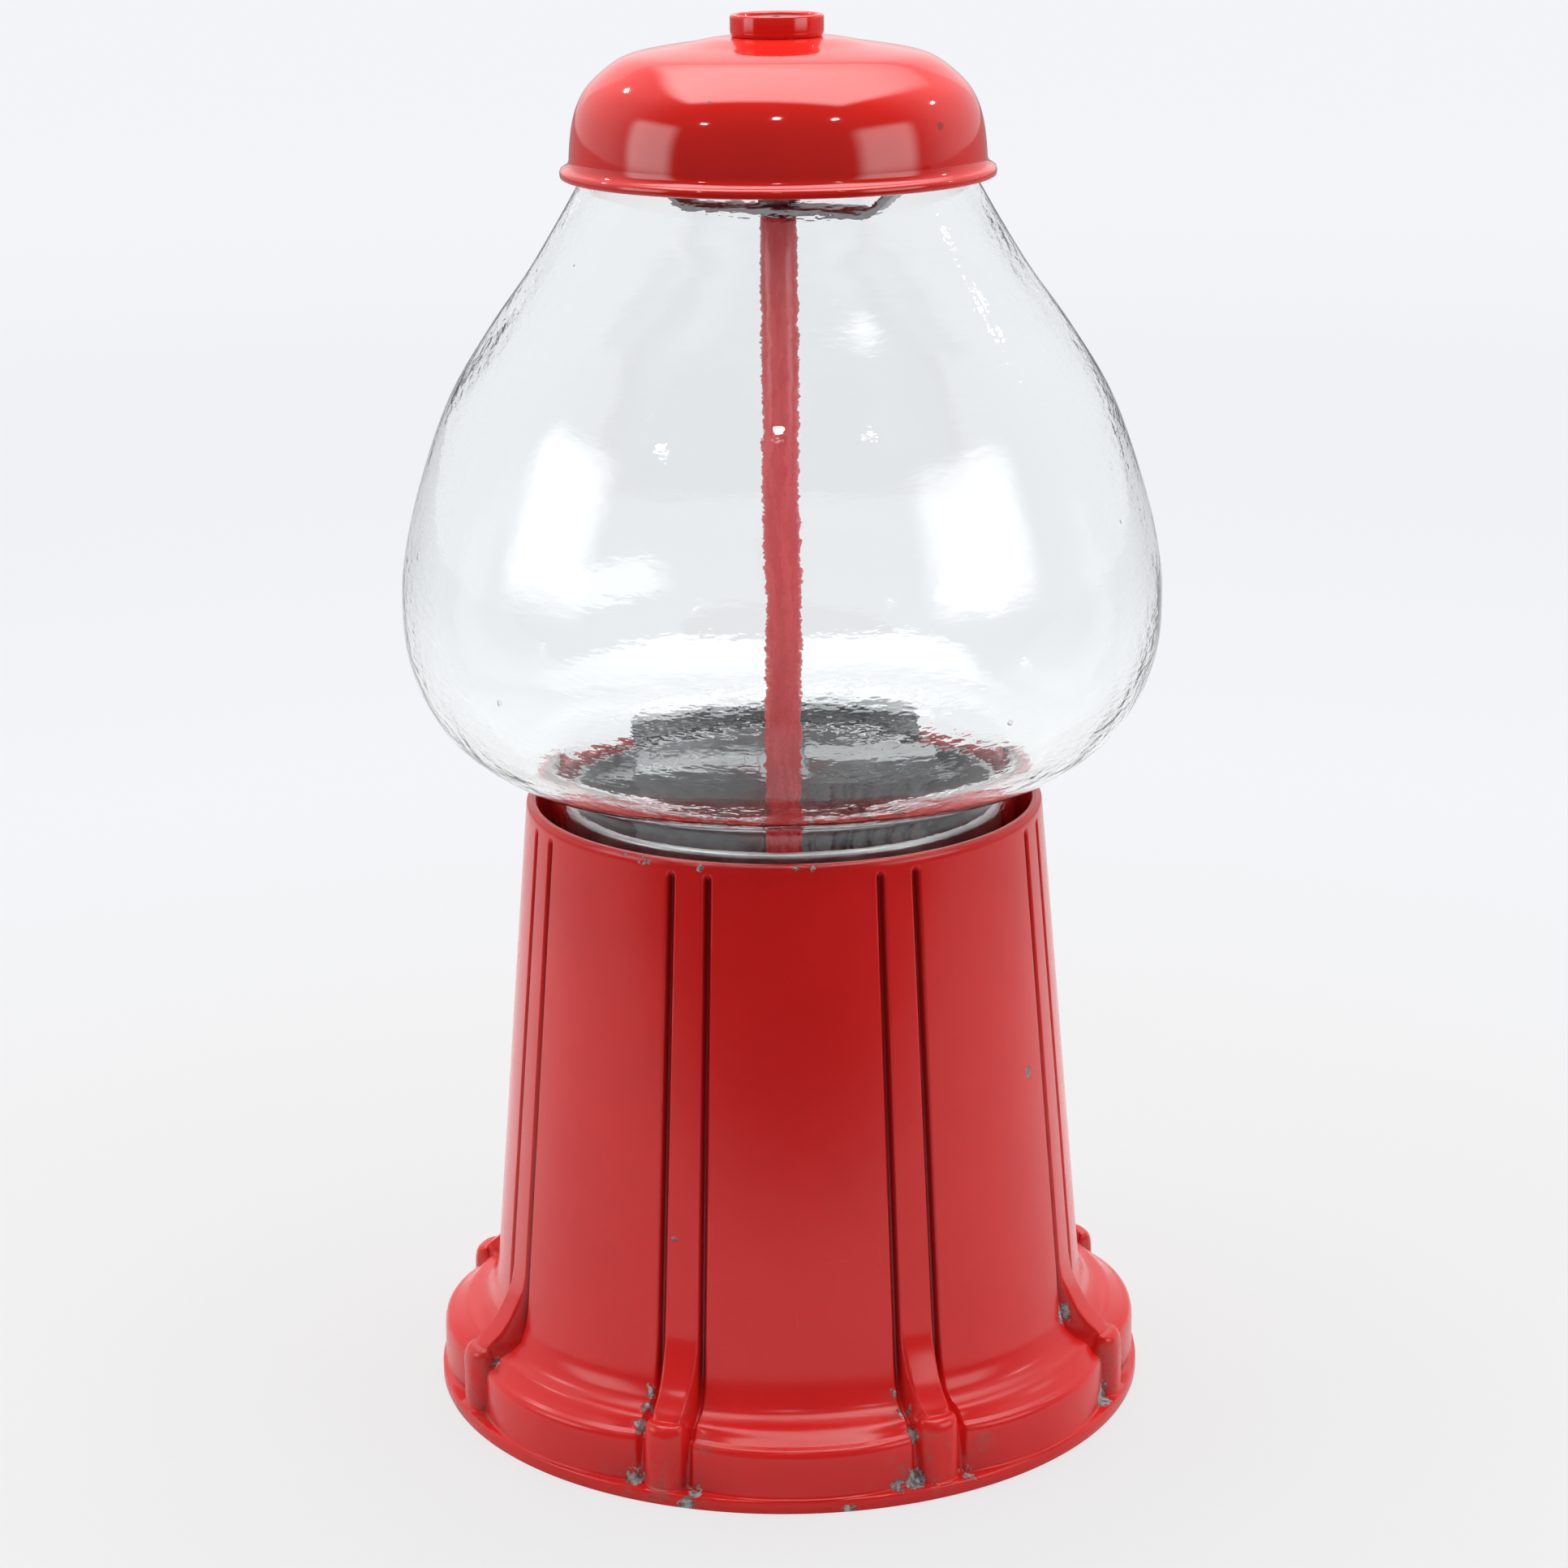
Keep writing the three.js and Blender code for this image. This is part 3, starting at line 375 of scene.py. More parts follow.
def scratches(n, i):
    """Hairline scratches: noise drawn out forty times in two directions, kept where it peaks."""
    lines = []
    for turn, stretch in (((0.3, 0.2, 0.5), (1.0, 40.0, 40.0)), ((0.9, 1.2, 0.1), (40.0, 40.0, 1.0))):
        place = n.add("Mapping", {"Vector": i["Vector"], "Rotation": turn, "Scale": stretch}).outputs[0]
        value = n.noise(place, i["Scale"], 0.0, 0.4, 0.0)
        lines.append(n.ramp(value, 0.78, 0.82))
    both = n.math("MAXIMUM", *lines)
    patch = n.ramp(n.noise(i["Vector"], n.times(i["Scale"], 0.4), 2.0), 0.45, 0.7)
    return [n.times(n.times(both, patch), i["Amount"], clamp=True)]


def cast_skin(n, i):
    """The skin of a die casting: pebbled height, and a mottle of lighter and darker patches."""
    pebble = n.noise(i["Vector"], i["Scale"], 4.0, 0.65)
    mottle = n.ramp(n.noise(i["Vector"], n.times(i["Scale"], 0.09), 4.0, 0.6, 0.4), 0.3, 0.7)
    return [n.times(pebble, i["Depth"]), mottle]


def settled_dust(n, i):
    """Dust lying on faces that look up, broken by noise."""
    up = n.part(n.add("NewGeometry").outputs["Normal"], 2)
    lying = n.ramp(up, 0.35, 0.95)
    patch = n.ramp(n.noise(i["Vector"], 55.0, 4.0, 0.6), 0.3, 0.75)
    return [n.times(n.times(lying, patch), i["Amount"], clamp=True)]


ORANGE_PEEL = effect(orange_peel, ["Height"], Scale=400.0, Fine=4e-6, Slow=3e-5)
SPECKLE = effect(speckle, ["Mask"], Scale=60.0, Size=0.4)
SCRATCHES = effect(scratches, ["Mask"], Scale=40.0, Amount=1.0)
CAST_SKIN = effect(cast_skin, ["Height", "Mottle"], Scale=900.0, Depth=3e-5)
DUST = effect(settled_dust, ["Mask"], Amount=0.5)


def use(n, group, place, **numbers):
    """Places a node group in a material and returns its outputs."""
    return n.add("Group", {"Vector": place, **numbers}, node_tree=group).outputs


def material(name, build, plain):
    """A material with one Principled shader: build returns what varies, with the height that goes
    through a Bump node; plain values go on the shader's own sockets."""
    made = bpy.data.materials.new(name)
    n = fresh_nodes(made)
    varying = build(n, n.add("TexCoord").outputs["Object"])
    bump = n.add("Bump", {"Height": varying.pop("Height"), "Distance": 1.0, "Strength": 1.0})
    shader = n.add("BsdfPrincipled", {**plain, **varying, "Normal": bump.outputs[0]})
    n.tree.links.new(shader.outputs[0], n.add("OutputMaterial").inputs[0])
    return made


# -------- finishes
# chips in the pedestal's enamel: turn from the +Y panel's middle towards +X in degrees, radius, height, size in mm
CHIPS = [
    (34, 73.6, 174.9, 1.3), (32, 73.8, 174.3, 1.1), (20, 73.8, 174.5, 1.4), (0, 73.4, 175.2, 1.2),
    (-4.5, 73.6, 175, 1), (-12, 73.8, 174.4, 0.8), (38, 73.5, 175.2, 0.9), (24, 82.5, 70, 0.7),
    (8, 84.5, 44, 0.7), (-56, 79.5, 105, 2), (27.5, 91.5, 23, 2.6), (28, 88.8, 26, 2.6),
    (27, 96.5, 19, 2.8), (-17.5, 88.5, 26.5, 2.3), (-18, 92, 22.5, 2.5), (-18.3, 96, 17, 2.8),
    (-63, 87, 29, 3.6), (-62, 98, 6, 5.2), (-18, 99.5, 5, 3.6), (-15, 101, 4.5, 2.4),
    (27.5, 99.5, 5, 3), (18, 103.2, 1, 2.8), (-7, 103.2, 0.6, 2.2), (-27, 101.5, 4.5, 2.4),
    (17, 101.5, 4.5, 2.4), (52, 99, 5, 2.4), (63, 96, 19, 2.4),
]


def chip_mask(n, place):
    """The largest of: size less distance to each chip, with noise on the distance, as a crisp mask."""
    ragged = n.times(n.minus(n.noise(place, 620.0, 5.0, 0.7, 0.6), 0.56), 9.0 * MM)
    best = None
    for turn, r, z, size in CHIPS:
        angle = math.pi / 2 - math.radians(turn)
        centre = (r * math.cos(angle) * MM, r * math.sin(angle) * MM, z * MM)
        away = n.add("VectorMath", {0: place, 1: centre}, operation="DISTANCE").outputs["Value"]
        depth = n.minus(size * MM, away)
        best = depth if best is None else n.math("MAXIMUM", best, depth)
    near = n.ramp(best, -1.2 * MM, -0.2 * MM)
    return n.times(n.ramp(n.math("ADD", best, ragged), 0.0, 0.35 * MM), near)


def radius_at(n, place):
    """The distance from the rod's axis."""
    across = n.add("VectorMath", {0: place, 1: (1, 1, 0)}, operation="MULTIPLY").outputs[0]
    return n.add("VectorMath", {0: across}, operation="LENGTH").outputs["Value"]


def angle_from_rib(n, place):
    """The angle to the nearest rib's middle."""
    turn = n.math("ARCTAN2", n.part(place, 1), n.part(place, 0))
    return n.math("ABSOLUTE", n.math("WRAP", n.minus(turn, RIB_PHASE), PANEL_ANGLE / 2, -PANEL_ANGLE / 2))


def groove_shade_mask(n, place):
    """One inside the grooves, where it lays painted shade on the enamel: the arc's distance from a line GROOVE_ANGLE
    to either side of each rib.
    """
    height = n.part(place, 2)
    aside = n.times(n.math("ABSOLUTE", n.minus(angle_from_rib(n, place), GROOVE_ANGLE)), radius_at(n, place))
    tall = n.times(n.ramp(height, 0.1725, 0.1705), n.ramp(height, 0.022, 0.034))
    return n.times(n.ramp(aside, 1.35 * MM, 0.55 * MM), tall)


def pedestal_enamel(n, place):
    """Thick red enamel: orange peel, chips down to the casting, grime in the foot's corners, and painted shade in
    the grooves and low on the foot.
    """
    height = n.part(place, 2)
    chips = chip_mask(n, place)
    foot = n.ramp(height, 0.030, 0.012)
    patch = n.ramp(n.noise(place, 85.0, 5.0, 0.7), 0.50, 0.62)
    tucked = n.ramp(radius_at(n, place), 0.1022, 0.0985)
    beside_rib = n.ramp(angle_from_rib(n, place), math.radians(10.5), math.radians(6.5))
    ledge = n.times(n.ramp(height, 0.0095, 0.0045), tucked)
    corner = n.times(n.times(foot, 0.35), beside_rib)
    grime = n.times(n.math("MAXIMUM", corner, ledge), patch, clamp=True)
    # painted shade: the red darkens towards the bottom of the foot and inside the grooves, standing in for the shade
    # that falls there
    low = n.times(n.ramp(height, 0.016, 0.004), 0.3)
    shade = n.math("MAXIMUM", n.times(groove_shade_mask(n, place), 0.75), n.times(low, tucked))
    tone = n.ramp(n.noise(place, 14.0, 3.0, 0.5), 0.3, 0.7)
    red = n.mix(tone, (0.70, 0.014, 0.013, 1), (0.79, 0.019, 0.017, 1))
    # the painted shade's dark red
    red = n.mix(shade, red, (0.13, 0.003, 0.004, 1))
    red = n.mix(grime, red, (0.17, 0.13, 0.105, 1))
    scuffs = use(n, SCRATCHES, place, Scale=26.0, Amount=0.12)[0]
    zinc_tone = n.mix(n.ramp(n.noise(place, 700.0, 3.0), 0.35, 0.65), (0.17, 0.17, 0.165, 1), (0.55, 0.54, 0.52, 1))
    skin = use(n, ORANGE_PEEL, place, Scale=420.0, Fine=1.1e-5, Slow=1.2e-4)[0]
    return {
        "Base Color": n.mix(chips, n.mix(scuffs, red, (0.62, 0.09, 0.075, 1)), zinc_tone),
        "Metallic": n.times(chips, 0.25),
        "Roughness": n.ramp(n.math("ADD", n.math("MAXIMUM", chips, grime), scuffs), 0.0, 1.0, 0.20, 0.62),
        "Height": n.minus(skin, n.times(chips, 1.6e-4)),
    }


def lid_enamel(n, place):
    """Smooth glossy enamel on pressed steel, with dust specks and hairlines."""
    tone = n.ramp(n.noise(place, 18.0, 2.0), 0.3, 0.7)
    specks = use(n, SPECKLE, place, Scale=95.0, Size=0.16)[0]
    marks = use(n, SCRATCHES, place, Scale=30.0, Amount=0.4)[0]
    red = n.mix(tone, (0.66, 0.014, 0.010, 1), (0.76, 0.019, 0.013, 1))
    red = n.mix(n.times(specks, 0.6), red, (0.12, 0.02, 0.018, 1))
    skin = use(n, ORANGE_PEEL, place, Scale=260.0, Fine=2.5e-6, Slow=3.0e-5)[0]
    return {
        "Base Color": n.mix(n.times(marks, 0.5), red, (0.75, 0.25, 0.22, 1)),
        "Roughness": n.ramp(n.math("ADD", marks, specks), 0.0, 1.0, 0.07, 0.3),
        "Height": skin,
    }


def rod_enamel(n, place):
    """Red enamel on the rod, a little dull and streaked along its length."""
    long = n.stretched(place, (1, 1, 0.12))
    streak = n.ramp(n.noise(long, 420.0, 4.0, 0.6), 0.35, 0.75)
    red = n.mix(streak, (0.62, 0.022, 0.03, 1), (0.74, 0.06, 0.065, 1))
    skin = use(n, ORANGE_PEEL, place, Scale=500.0, Fine=8e-6, Slow=2e-5)[0]
    return {"Base Color": red, "Roughness": n.ramp(streak, 0.0, 1.0, 0.22, 0.38), "Height": skin}


def zinc(n, place):
    """Dull grey die casting with scuffs and a film of dust."""
    skin = use(n, CAST_SKIN, place, Scale=900.0, Depth=2.5e-5)
    marks = use(n, SCRATCHES, place, Scale=34.0, Amount=0.6)[0]
    dust = use(n, DUST, place, Amount=0.25)[0]
    grey = n.mix(skin["Mottle"], (0.25, 0.26, 0.27, 1), (0.37, 0.38, 0.385, 1))
    grey = n.mix(marks, grey, (0.55, 0.55, 0.54, 1))
    return {
        "Base Color": n.mix(dust, grey, (0.46, 0.45, 0.43, 1)),
        "Metallic": n.ramp(dust, 0.0, 1.0, 0.9, 0.3),
        "Roughness": n.ramp(n.math("ADD", skin["Mottle"], dust), 0.0, 2.0, 0.28, 0.50),
        "Height": skin["Height"],
    }


def chrome(n, place):
    """Bright plating over a casting: hairlines, a few pits and a slow ripple."""
    marks = use(n, SCRATCHES, place, Scale=50.0, Amount=0.8)[0]
    pits = use(n, SPECKLE, place, Scale=150.0, Size=0.10)[0]
    haze = n.ramp(n.noise(place, 26.0, 4.0, 0.6), 0.4, 0.8)
    worn = n.math("MULTIPLY_ADD", haze, 0.25, n.math("MAXIMUM", marks, pits), clamp=True)
    skin = use(n, ORANGE_PEEL, place, Scale=120.0, Fine=3e-6, Slow=2.5e-5)[0]
    return {
        "Base Color": n.mix(pits, (0.70, 0.71, 0.73, 1), (0.22, 0.2, 0.18, 1)),
        "Roughness": n.ramp(worn, 0.0, 1.0, 0.07, 0.36),
        "Height": n.minus(skin, n.times(pits, 3e-5)),
    }


def brushed(stretch, scale, detail, patch, dark, light, shine, dull, depth):
    """A worked metal: fine grain along the work and a cloudy tone."""
    def build(n, place):
        grain = n.noise(n.stretched(place, stretch), scale, detail, 0.6)
        cloud = n.ramp(n.noise(place, patch, 3.0), 0.35, 0.7)
        return {"Base Color": n.mix(cloud, dark, light), "Roughness": n.ramp(grain, 0.3, 0.7, shine, dull),
                "Height": n.times(grain, depth)}
    return build


STEEL = brushed((1, 1, 9), 900.0, 2.0, 60.0, (0.36, 0.36, 0.35, 1), (0.50, 0.50, 0.51, 1), 0.26, 0.44, 6e-6)
BRASS = brushed((1, 8, 1), 700.0, 3.0, 90.0, (0.42, 0.27, 0.10, 1), (0.60, 0.42, 0.18, 1), 0.24, 0.45, 5e-6)


def dark_steel(n, place):
    """The lock's darkened steel."""
    cloud = n.ramp(n.noise(place, 160.0, 4.0, 0.6), 0.35, 0.7)
    marks = use(n, SCRATCHES, place, Scale=90.0, Amount=0.8)[0]
    grey = n.mix(cloud, (0.055, 0.056, 0.06, 1), (0.13, 0.13, 0.135, 1))
    return {
        "Base Color": n.mix(marks, grey, (0.4, 0.4, 0.4, 1)),
        "Roughness": n.ramp(cloud, 0.0, 1.0, 0.3, 0.48),
        "Height": n.times(cloud, 1e-5),
    }


def glass(n, place):
    """Clear blown glass: slow waves, a fine ripple and faint dust on the roughness."""
    wave = n.noise(n.stretched(place, (1, 1, 0.7)), 62.0, 2.0, 0.5)
    ripple = n.noise(n.stretched(place, (0.6, 0.6, 1.5)), 300.0, 2.0, 0.55)
    seeds = use(n, SPECKLE, place, Scale=60.0, Size=0.06)[0]
    height = n.math("MULTIPLY_ADD", ripple, 6.0e-5, n.times(wave, 1.4e-4))
    return {
        "Roughness": n.times(seeds, 0.35),
        "Height": n.math("MULTIPLY_ADD", seeds, 6e-5, height),
    }


def rubber(n, place):
    """Matt black rubber with a dusty bloom."""
    bloom = n.ramp(n.noise(place, 120.0, 4.0, 0.6), 0.35, 0.75)
    return {
        "Base Color": n.mix(bloom, (0.012, 0.012, 0.013, 1), (0.05, 0.05, 0.048, 1)),
        "Roughness": n.ramp(bloom, 0.0, 1.0, 0.6, 0.85),
        "Height": n.times(n.noise(place, 1500.0, 2.0), 1e-5),
    }


FINISHES = {name: material(name, build, plain) for name, build, plain in (
    ("red_enamel", pedestal_enamel, {"Specular IOR Level": 0.4}),
    ("lid_enamel", lid_enamel, {"Specular IOR Level": 0.62}),
    ("rod_enamel", rod_enamel, {}),
    ("zinc_casting", zinc, {}),
    ("chrome_plate", chrome, {"Metallic": 1.0}),
    ("plain_steel", STEEL, {"Metallic": 0.95}),
    ("dark_steel", dark_steel, {"Metallic": 0.8}),
    ("brass", BRASS, {"Metallic": 1.0}),
    ("clear_glass", glass, {"Base Color": (0.975, 0.985, 0.98, 1), "Transmission Weight": 1.0, "IOR": 1.45}),
    ("black_rubber", rubber, {}),
)}
SLOT_OF = {part["node"]: part["material_slot"] for part in frame["record"]["subparts"]}
BODY_OF = {
    node: body for body, nodes in frame["record"]["behaviour"]["bodies"].items() for node in nodes
}


def wear(piece, finish):
    """Gives a piece one material in its first slot."""
    piece.data.materials.clear()
    piece.data.materials.append(FINISHES[finish])


def fit(piece, node, finish=None):
    """The piece rides with a CAD node's body, takes its slot and finish, and replaces it."""
    wear(piece, finish or SLOT_OF[node])
    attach(piece, BODY_OF[node])
    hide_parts(node)


# -------- pedestal
def cone_radius(z):
    share = (z - CONE_FOOT[1]) / (CONE_RIM[1] - CONE_FOOT[1])
    return CONE_FOOT[0] + share * (CONE_RIM[0] - CONE_FOOT[0])


def sector_angles():
    """Angles round the pedestal, close together over the ribs and their grooves, wide over the panels."""
    fine = np.linspace(-math.radians(6.6), math.radians(6.6), 86)
    wide = np.linspace(math.radians(6.6), PANEL_ANGLE - math.radians(6.6), 20)[1:-1]
    sector = np.concatenate([fine, wide])
    return (RIB_PHASE + PANEL_ANGLE * np.arange(PANELS)[:, None] + sector[None]).ravel()


def pedestal_rows():
    """Rows from the flange's underside, over the foot, up the cone to the rim and down inside, once for
    a panel and once for a rib: share, rest and height. A row's radius is share * foot wall + rest."""
    flange = [(0, 95.6, 0), (0, 99, 0), (0, 102.7, 0), (0, 103.1, 0.2), (0, 103.3, 0.7), (0, 103.3, 3.1),
              (0, 103.15, 3.6), (0, 102.8, 3.9)]
    ledge = [(0.5, 51.4, 3.98), (0.96, 4.9, 4), (1, 0.35, 4.15), (1, 0.08, 4.5), (1, 0, 5.2)]
    panel_wall = [(1, 0, 10), (1, -0.03, 14), (1, -0.15, 15.8), (1, -0.45, 16.9), (1, -0.95, 17.6), (1, -1.6, 18)]
    rib_wall = [(1, 0, 10), (1, -0.05, 15), (1, -0.15, 18.4), (1, -0.5, 20.2), (1, -1.1, 21.4), (1, -1.9, 22.1)]
    over = 26
    shoulder = spline(
        [(1, -2.6, 18.3), (0.62, 34.4, 19.4), (0.15, 79.6, 21.2), (0, 91.6, 22.1), (0, 89.7, 23), (0, 88.3, 24.4),
         (0, 87.3, 26.6), (0, 86.6, 29.6), (0, cone_radius(35), 35), (0, cone_radius(43), 43)], over)
    ridge = spline(
        [(1, -2.8, 22.4), (0.9, 6.4, 22.3), (0.5, 46.6, 22.6), (0.1, 86, 24), (0, 93.4, 26.2), (0, 91.2, 28.8),
         (0, 89.4, 31.6), (0, 87.7, 35), (0, cone_radius(38.8) + 0.35, 38.8), (0, cone_radius(43), 43)], over)
    cone_z = np.concatenate([np.linspace(47, 166, 22), np.linspace(168.5, 173.2, 12)])
    cone = [(0, cone_radius(z), z) for z in cone_z]
    rim = [(0, 73.75, 174.4), (0, 73.45, 175.1), (0, 72.95, 175.65), (0, 72.3, 175.88), (0, 71.7, 175.85),
           (0, 71.1, 175.5), (0, 70.75, 174.9), (0, 70.6, 174)]
    inside = [(0, 70.6, 160), (0, 70.6, 143), (0, 70.3, 142.6), (0, 65.9, 142.6), (0, 65.6, 142.2),
              (0, 65.6, 139.8), (0, 66.2, 139.4), (0, cone_radius(135) - 4, 135), (0, 79.9, 60),
              (0, 82.4, 28), (0, 86, 22), (0, 87.9, 20), (0, 88, 12.6), (0, 88.2, 12.4), (0, 94, 12.4),
              (0, 94.3, 12.1), (0, 94.8, 1), (0, 95.1, 0.3)]
    panel = np.vstack([flange, ledge, panel_wall, shoulder, cone, rim, inside])
    rib = np.vstack([flange, ledge, rib_wall, ridge, cone, rim, inside])
    top = len(flange) + len(ledge)
    half = np.full(len(panel), 6.0)
    half[top + 6:top + 6 + over] = np.interp(np.arange(over), [0, 7, 16, 25], [5.8, 4.9, 4.6, 5.2])
    return panel, rib, half, top, top + 6 + over


def pedestal_casting():
    """One sheet over angle and row. The foot's wall is a lobe that falls back beside each rib, or the
    rib's boss where that stands further out. Panel rows and rib rows are mixed by distance from the
    rib's middle, and each groove is a dip along the surface's normal, rounded at its upper end."""
    angle = sector_angles()
    panel, rib, half, wall_row, cone_row = pedestal_rows()
    turn = (angle - RIB_PHASE) / PANEL_ANGLE
    from_rib = (turn - np.round(turn)) * PANEL_ANGLE
    from_middle = 1 - np.abs(from_rib) / (PANEL_ANGLE / 2)
    lobe = LOBE_R - (LOBE_R - LOBE_IN_R) * from_middle**2.4
    arc = LOBE_IN_R * from_rib
    boss = LOBE_IN_R - 1.2 + 6.1 * np.maximum(1 - np.abs(arc / BOSS_R) ** 2.6, 0) ** 0.5
    wall = np.maximum(lobe, boss)

    def radius_of(rows):
        return rows[:, 0][:, None] * wall[None] + rows[:, 1][:, None]

    panel_r, rib_r = radius_of(panel), radius_of(rib)
    across = np.abs(from_rib)[None] * (0.5 * (panel_r + rib_r))
    edge = np.clip((across - (half[:, None] - 1.1)) / 1.9, 0, 1)
    weight = 0.5 * (1 + np.cos(np.pi * edge))
    weight[:wall_row] = 0
    r = panel_r * (1 - weight) + rib_r * weight
    z = panel[:, 2][:, None] * (1 - weight) + rib[:, 2][:, None] * weight

    normal = normals_of(np.stack([panel_r[:, 0], panel[:, 2]], -1))
    rows = np.arange(len(panel))[:, None]
    aside = np.abs(np.abs(from_rib) - GROOVE_ANGLE)[None] * panel_r
    end = np.maximum(panel[:, 2] - (RIM_Z - 4.6), 0)[:, None]
    aside = np.hypot(aside, end)
    low_fade = np.clip((rows - (wall_row - 2)) / 3, 0, 1)
    groove = (0.5 + 0.5 * np.cos(np.pi * np.clip(aside / GROOVE_HALF, 0, 1))) ** 0.75 * GROOVE_DEPTH * low_fade
    groove[panel[:, 2] > RIM_Z - 2.2] = 0
    groove[cone_row + 34:] = 0
    r = r - groove * normal[:, 0][:, None]
    z = z - groove * normal[:, 1][:, None]
    grid = np.stack([r * np.cos(angle), r * np.sin(angle), z], -1)
    shell = sheet_of("pedestal_casting", grid, True, True, crease=60)
    edge_x = HOUSING_X + 0.3
    return cut(shell, plain_box((-edge_x, -110, HOUSING_Z[0] - 0.3), (edge_x, -55, 190)))


# -------- globe, bracket, lid and lock
GLOBE = [(73.5, 185.9), (79, 187.3), (85, 189.9), (91.5, 194.6), (96.8, 200), (102.3, 209.5), (105.6, 220),
         (106.6, 230), (105.9, 245), (101.3, 265), (92.2, 290), (80.1, 310), (69.3, 325), (60, 340), (54.8, 349)]


def blown_globe():
    """Neck, bulb and mouth turned about Z, with an inner wall GLASS_WALL inside whose thickness wanders
    by a sum of slow sines round and up the globe."""
    bulb = spline(GLOBE, 70)
    neck = [(66.2, 149.0), (67.0, 149.8), (67.0, 165), (67.0, 176), (67.0, 180.4), (67.15, 182.0), (67.6, 183.3),
            (68.5, 184.3), (69.9, 185.0), (71.6, 185.5)]
    outer = np.vstack([neck, bulb, [(53.7, 352), (53.5, 355), (53.4, 357), (52.6, 358)]])
    inner = (outer - GLASS_WALL * normals_of(outer))[1:-1][::-1]
    inner[-1] = (63.8, 149.4)
    inner[0] = (50.6, 357.6)
    grid_line = np.vstack([outer, inner])
    count = 224
    angle = full_turn(count)
    r, z = grid_line[:, 0][:, None] + 0 * angle, grid_line[:, 1][:, None] + 0 * angle
    wander = (np.sin(3 * angle + z / 17) + np.sin(5 * angle - z / 9 + 1.3) + np.sin(2 * angle + z / 31 + 0.7)) * 0.11
    wander[: len(outer)] *= 0.12
    ends = np.clip((z - 178) / 12, 0, 1) * np.clip((348 - z) / 10, 0, 1)
    r = r + wander * ends
    grid = np.stack([r * np.cos(angle), r * np.sin(angle), z], -1)
    return sheet_of("blown_globe", grid, True, True, crease=50)


def mouth_bracket():
    """A strap with softened edges: its section runs along a bent path, level in the middle, up at
    both ends and level again on the rim; bored for the rod."""
    half = [(0, 340.6), (27.6, 340.6), (46.8, 359.6), (54.3, 359.6)]
    path = fillet([(-x, z) for x, z in half[:0:-1]] + half[1:], 3.2, 6, closed=False)
    path = path[np.concatenate([[True], np.linalg.norm(np.diff(path, axis=0), axis=1) > 1e-6])]
    normal = normals_of(path)
    wide, thick = 5.2, 1.1
    section = fillet([(-wide, -thick), (wide, -thick), (wide, thick), (-wide, thick)], 0.8, 3)
    x = path[:, 0][:, None] + normal[:, 0][:, None] * section[:, 1]
    z = path[:, 1][:, None] + normal[:, 1][:, None] * section[:, 1]
    taper = 1 - 0.12 * np.abs(path[:, 0][:, None]) / 54
    y = section[:, 0][None] * taper + 0 * x
    strap = sheet_of("mouth_bracket", np.stack([x, y, z], -1), False, True, fill=True)
    strap.data.transform(Matrix.Rotation(BRACKET_TURN, 4, "Z"))
    return cut(strap, drill(3.3, 330, 360, "Z", segments=32))


def nut(name, across, low, high, bore):
    """A hexagon nut with chamfered corners: a hexagon's radius, held under a cone at both faces."""
    angle = full_turn(96)
    hexagon = across / 2 / np.cos((angle + np.pi / 6) % (np.pi / 3) - np.pi / 6)
    round_face, corner, chamfer = across / 2 * 0.96, across / 2 * 1.2, 0.14 * (across / 2)
    body = np.minimum(hexagon[None], np.array([round_face, corner, corner, round_face])[:, None])
    hole = np.full(len(angle), bore)
    r = np.vstack([hole, body, hole])
    z = np.array([low + 0.3, low, low + chamfer, high - chamfer, high, high - 0.3])[:, None] + 0 * angle
    return sheet_of(name, np.stack([r * np.cos(angle), r * np.sin(angle), z], -1), True, True, crease=25)


def lid_pressing():
    """The dome turned about Z: rolled bead, upright side, shoulder and shallow crown, with an inner wall."""
    crown = spline(
        [(57.15, 355.5), (57, 358), (56.6, 362), (55.9, 366), (54.7, 370), (52.6, 374), (50, 377), (46.5, 380),
         (43.2, 382.2), (39.4, 383.7), (33, 385), (25.2, 386.2), (20, 387.2), (16.5, 387.8), (13, 388)], 64)
    bead = [(57.4, 351.2), (59.1, 350.9), (59.55, 351.1), (59.7, 351.6), (59.7, 352.6), (59.5, 353.1), (58.8, 353.5),
            (58.1, 353.9), (57.5, 354.6)]
    outer = np.vstack([bead, crown])
    inner = (crown - LID_WALL * normals_of(crown))[::-1]
    top = [(10.8, 388.0), (10.8, 386.8)]
    rim = [(56.4, 353.8), (57.0, 351.8)]
    return turned("lid_pressing", np.vstack([outer, top, inner, rim]), 192, crease=40)


def lock_collar():
    """The collar: a short drum with a rounded lip and a recess, on a sleeve that passes through the lid."""
    outline = fillet(
        [(8.7, 376), (10.4, 376), (10.4, 388), (12.3, 388), (12.74, 389.2), (12.74, 393.95), (11.2, 393.95),
         (10.6, 392.6), (8.7, 392.6)],
        [0.3, 0.4, 0.05, 0.3, 0.9, 1.1, 0.7, 0.3, 0.2], 5)
    return turned("lock_collar", outline, 96)


def lock_barrel():
    """The lock's core: a chamfered face with a keyway, a waist and a socket for the rod's end."""
    outline = fillet(
        [(0, 393.1), (7.9, 393.1), (8.4, 392.6), (8.4, 376.5), (6.6, 376), (6.6, 348.6), (6.1, 348), (3.5, 348),
         (3.5, 357), (0, 357.5)], 0.3, 3, closed=False)
    core = turned("lock_barrel", outline[::-1], 64, closed=False)
    return cut(core, plain_box((-0.8, -3.6, 389.5), (0.8, 3.6, 395)), drill(1.7, 389.5, 395, "Z"))


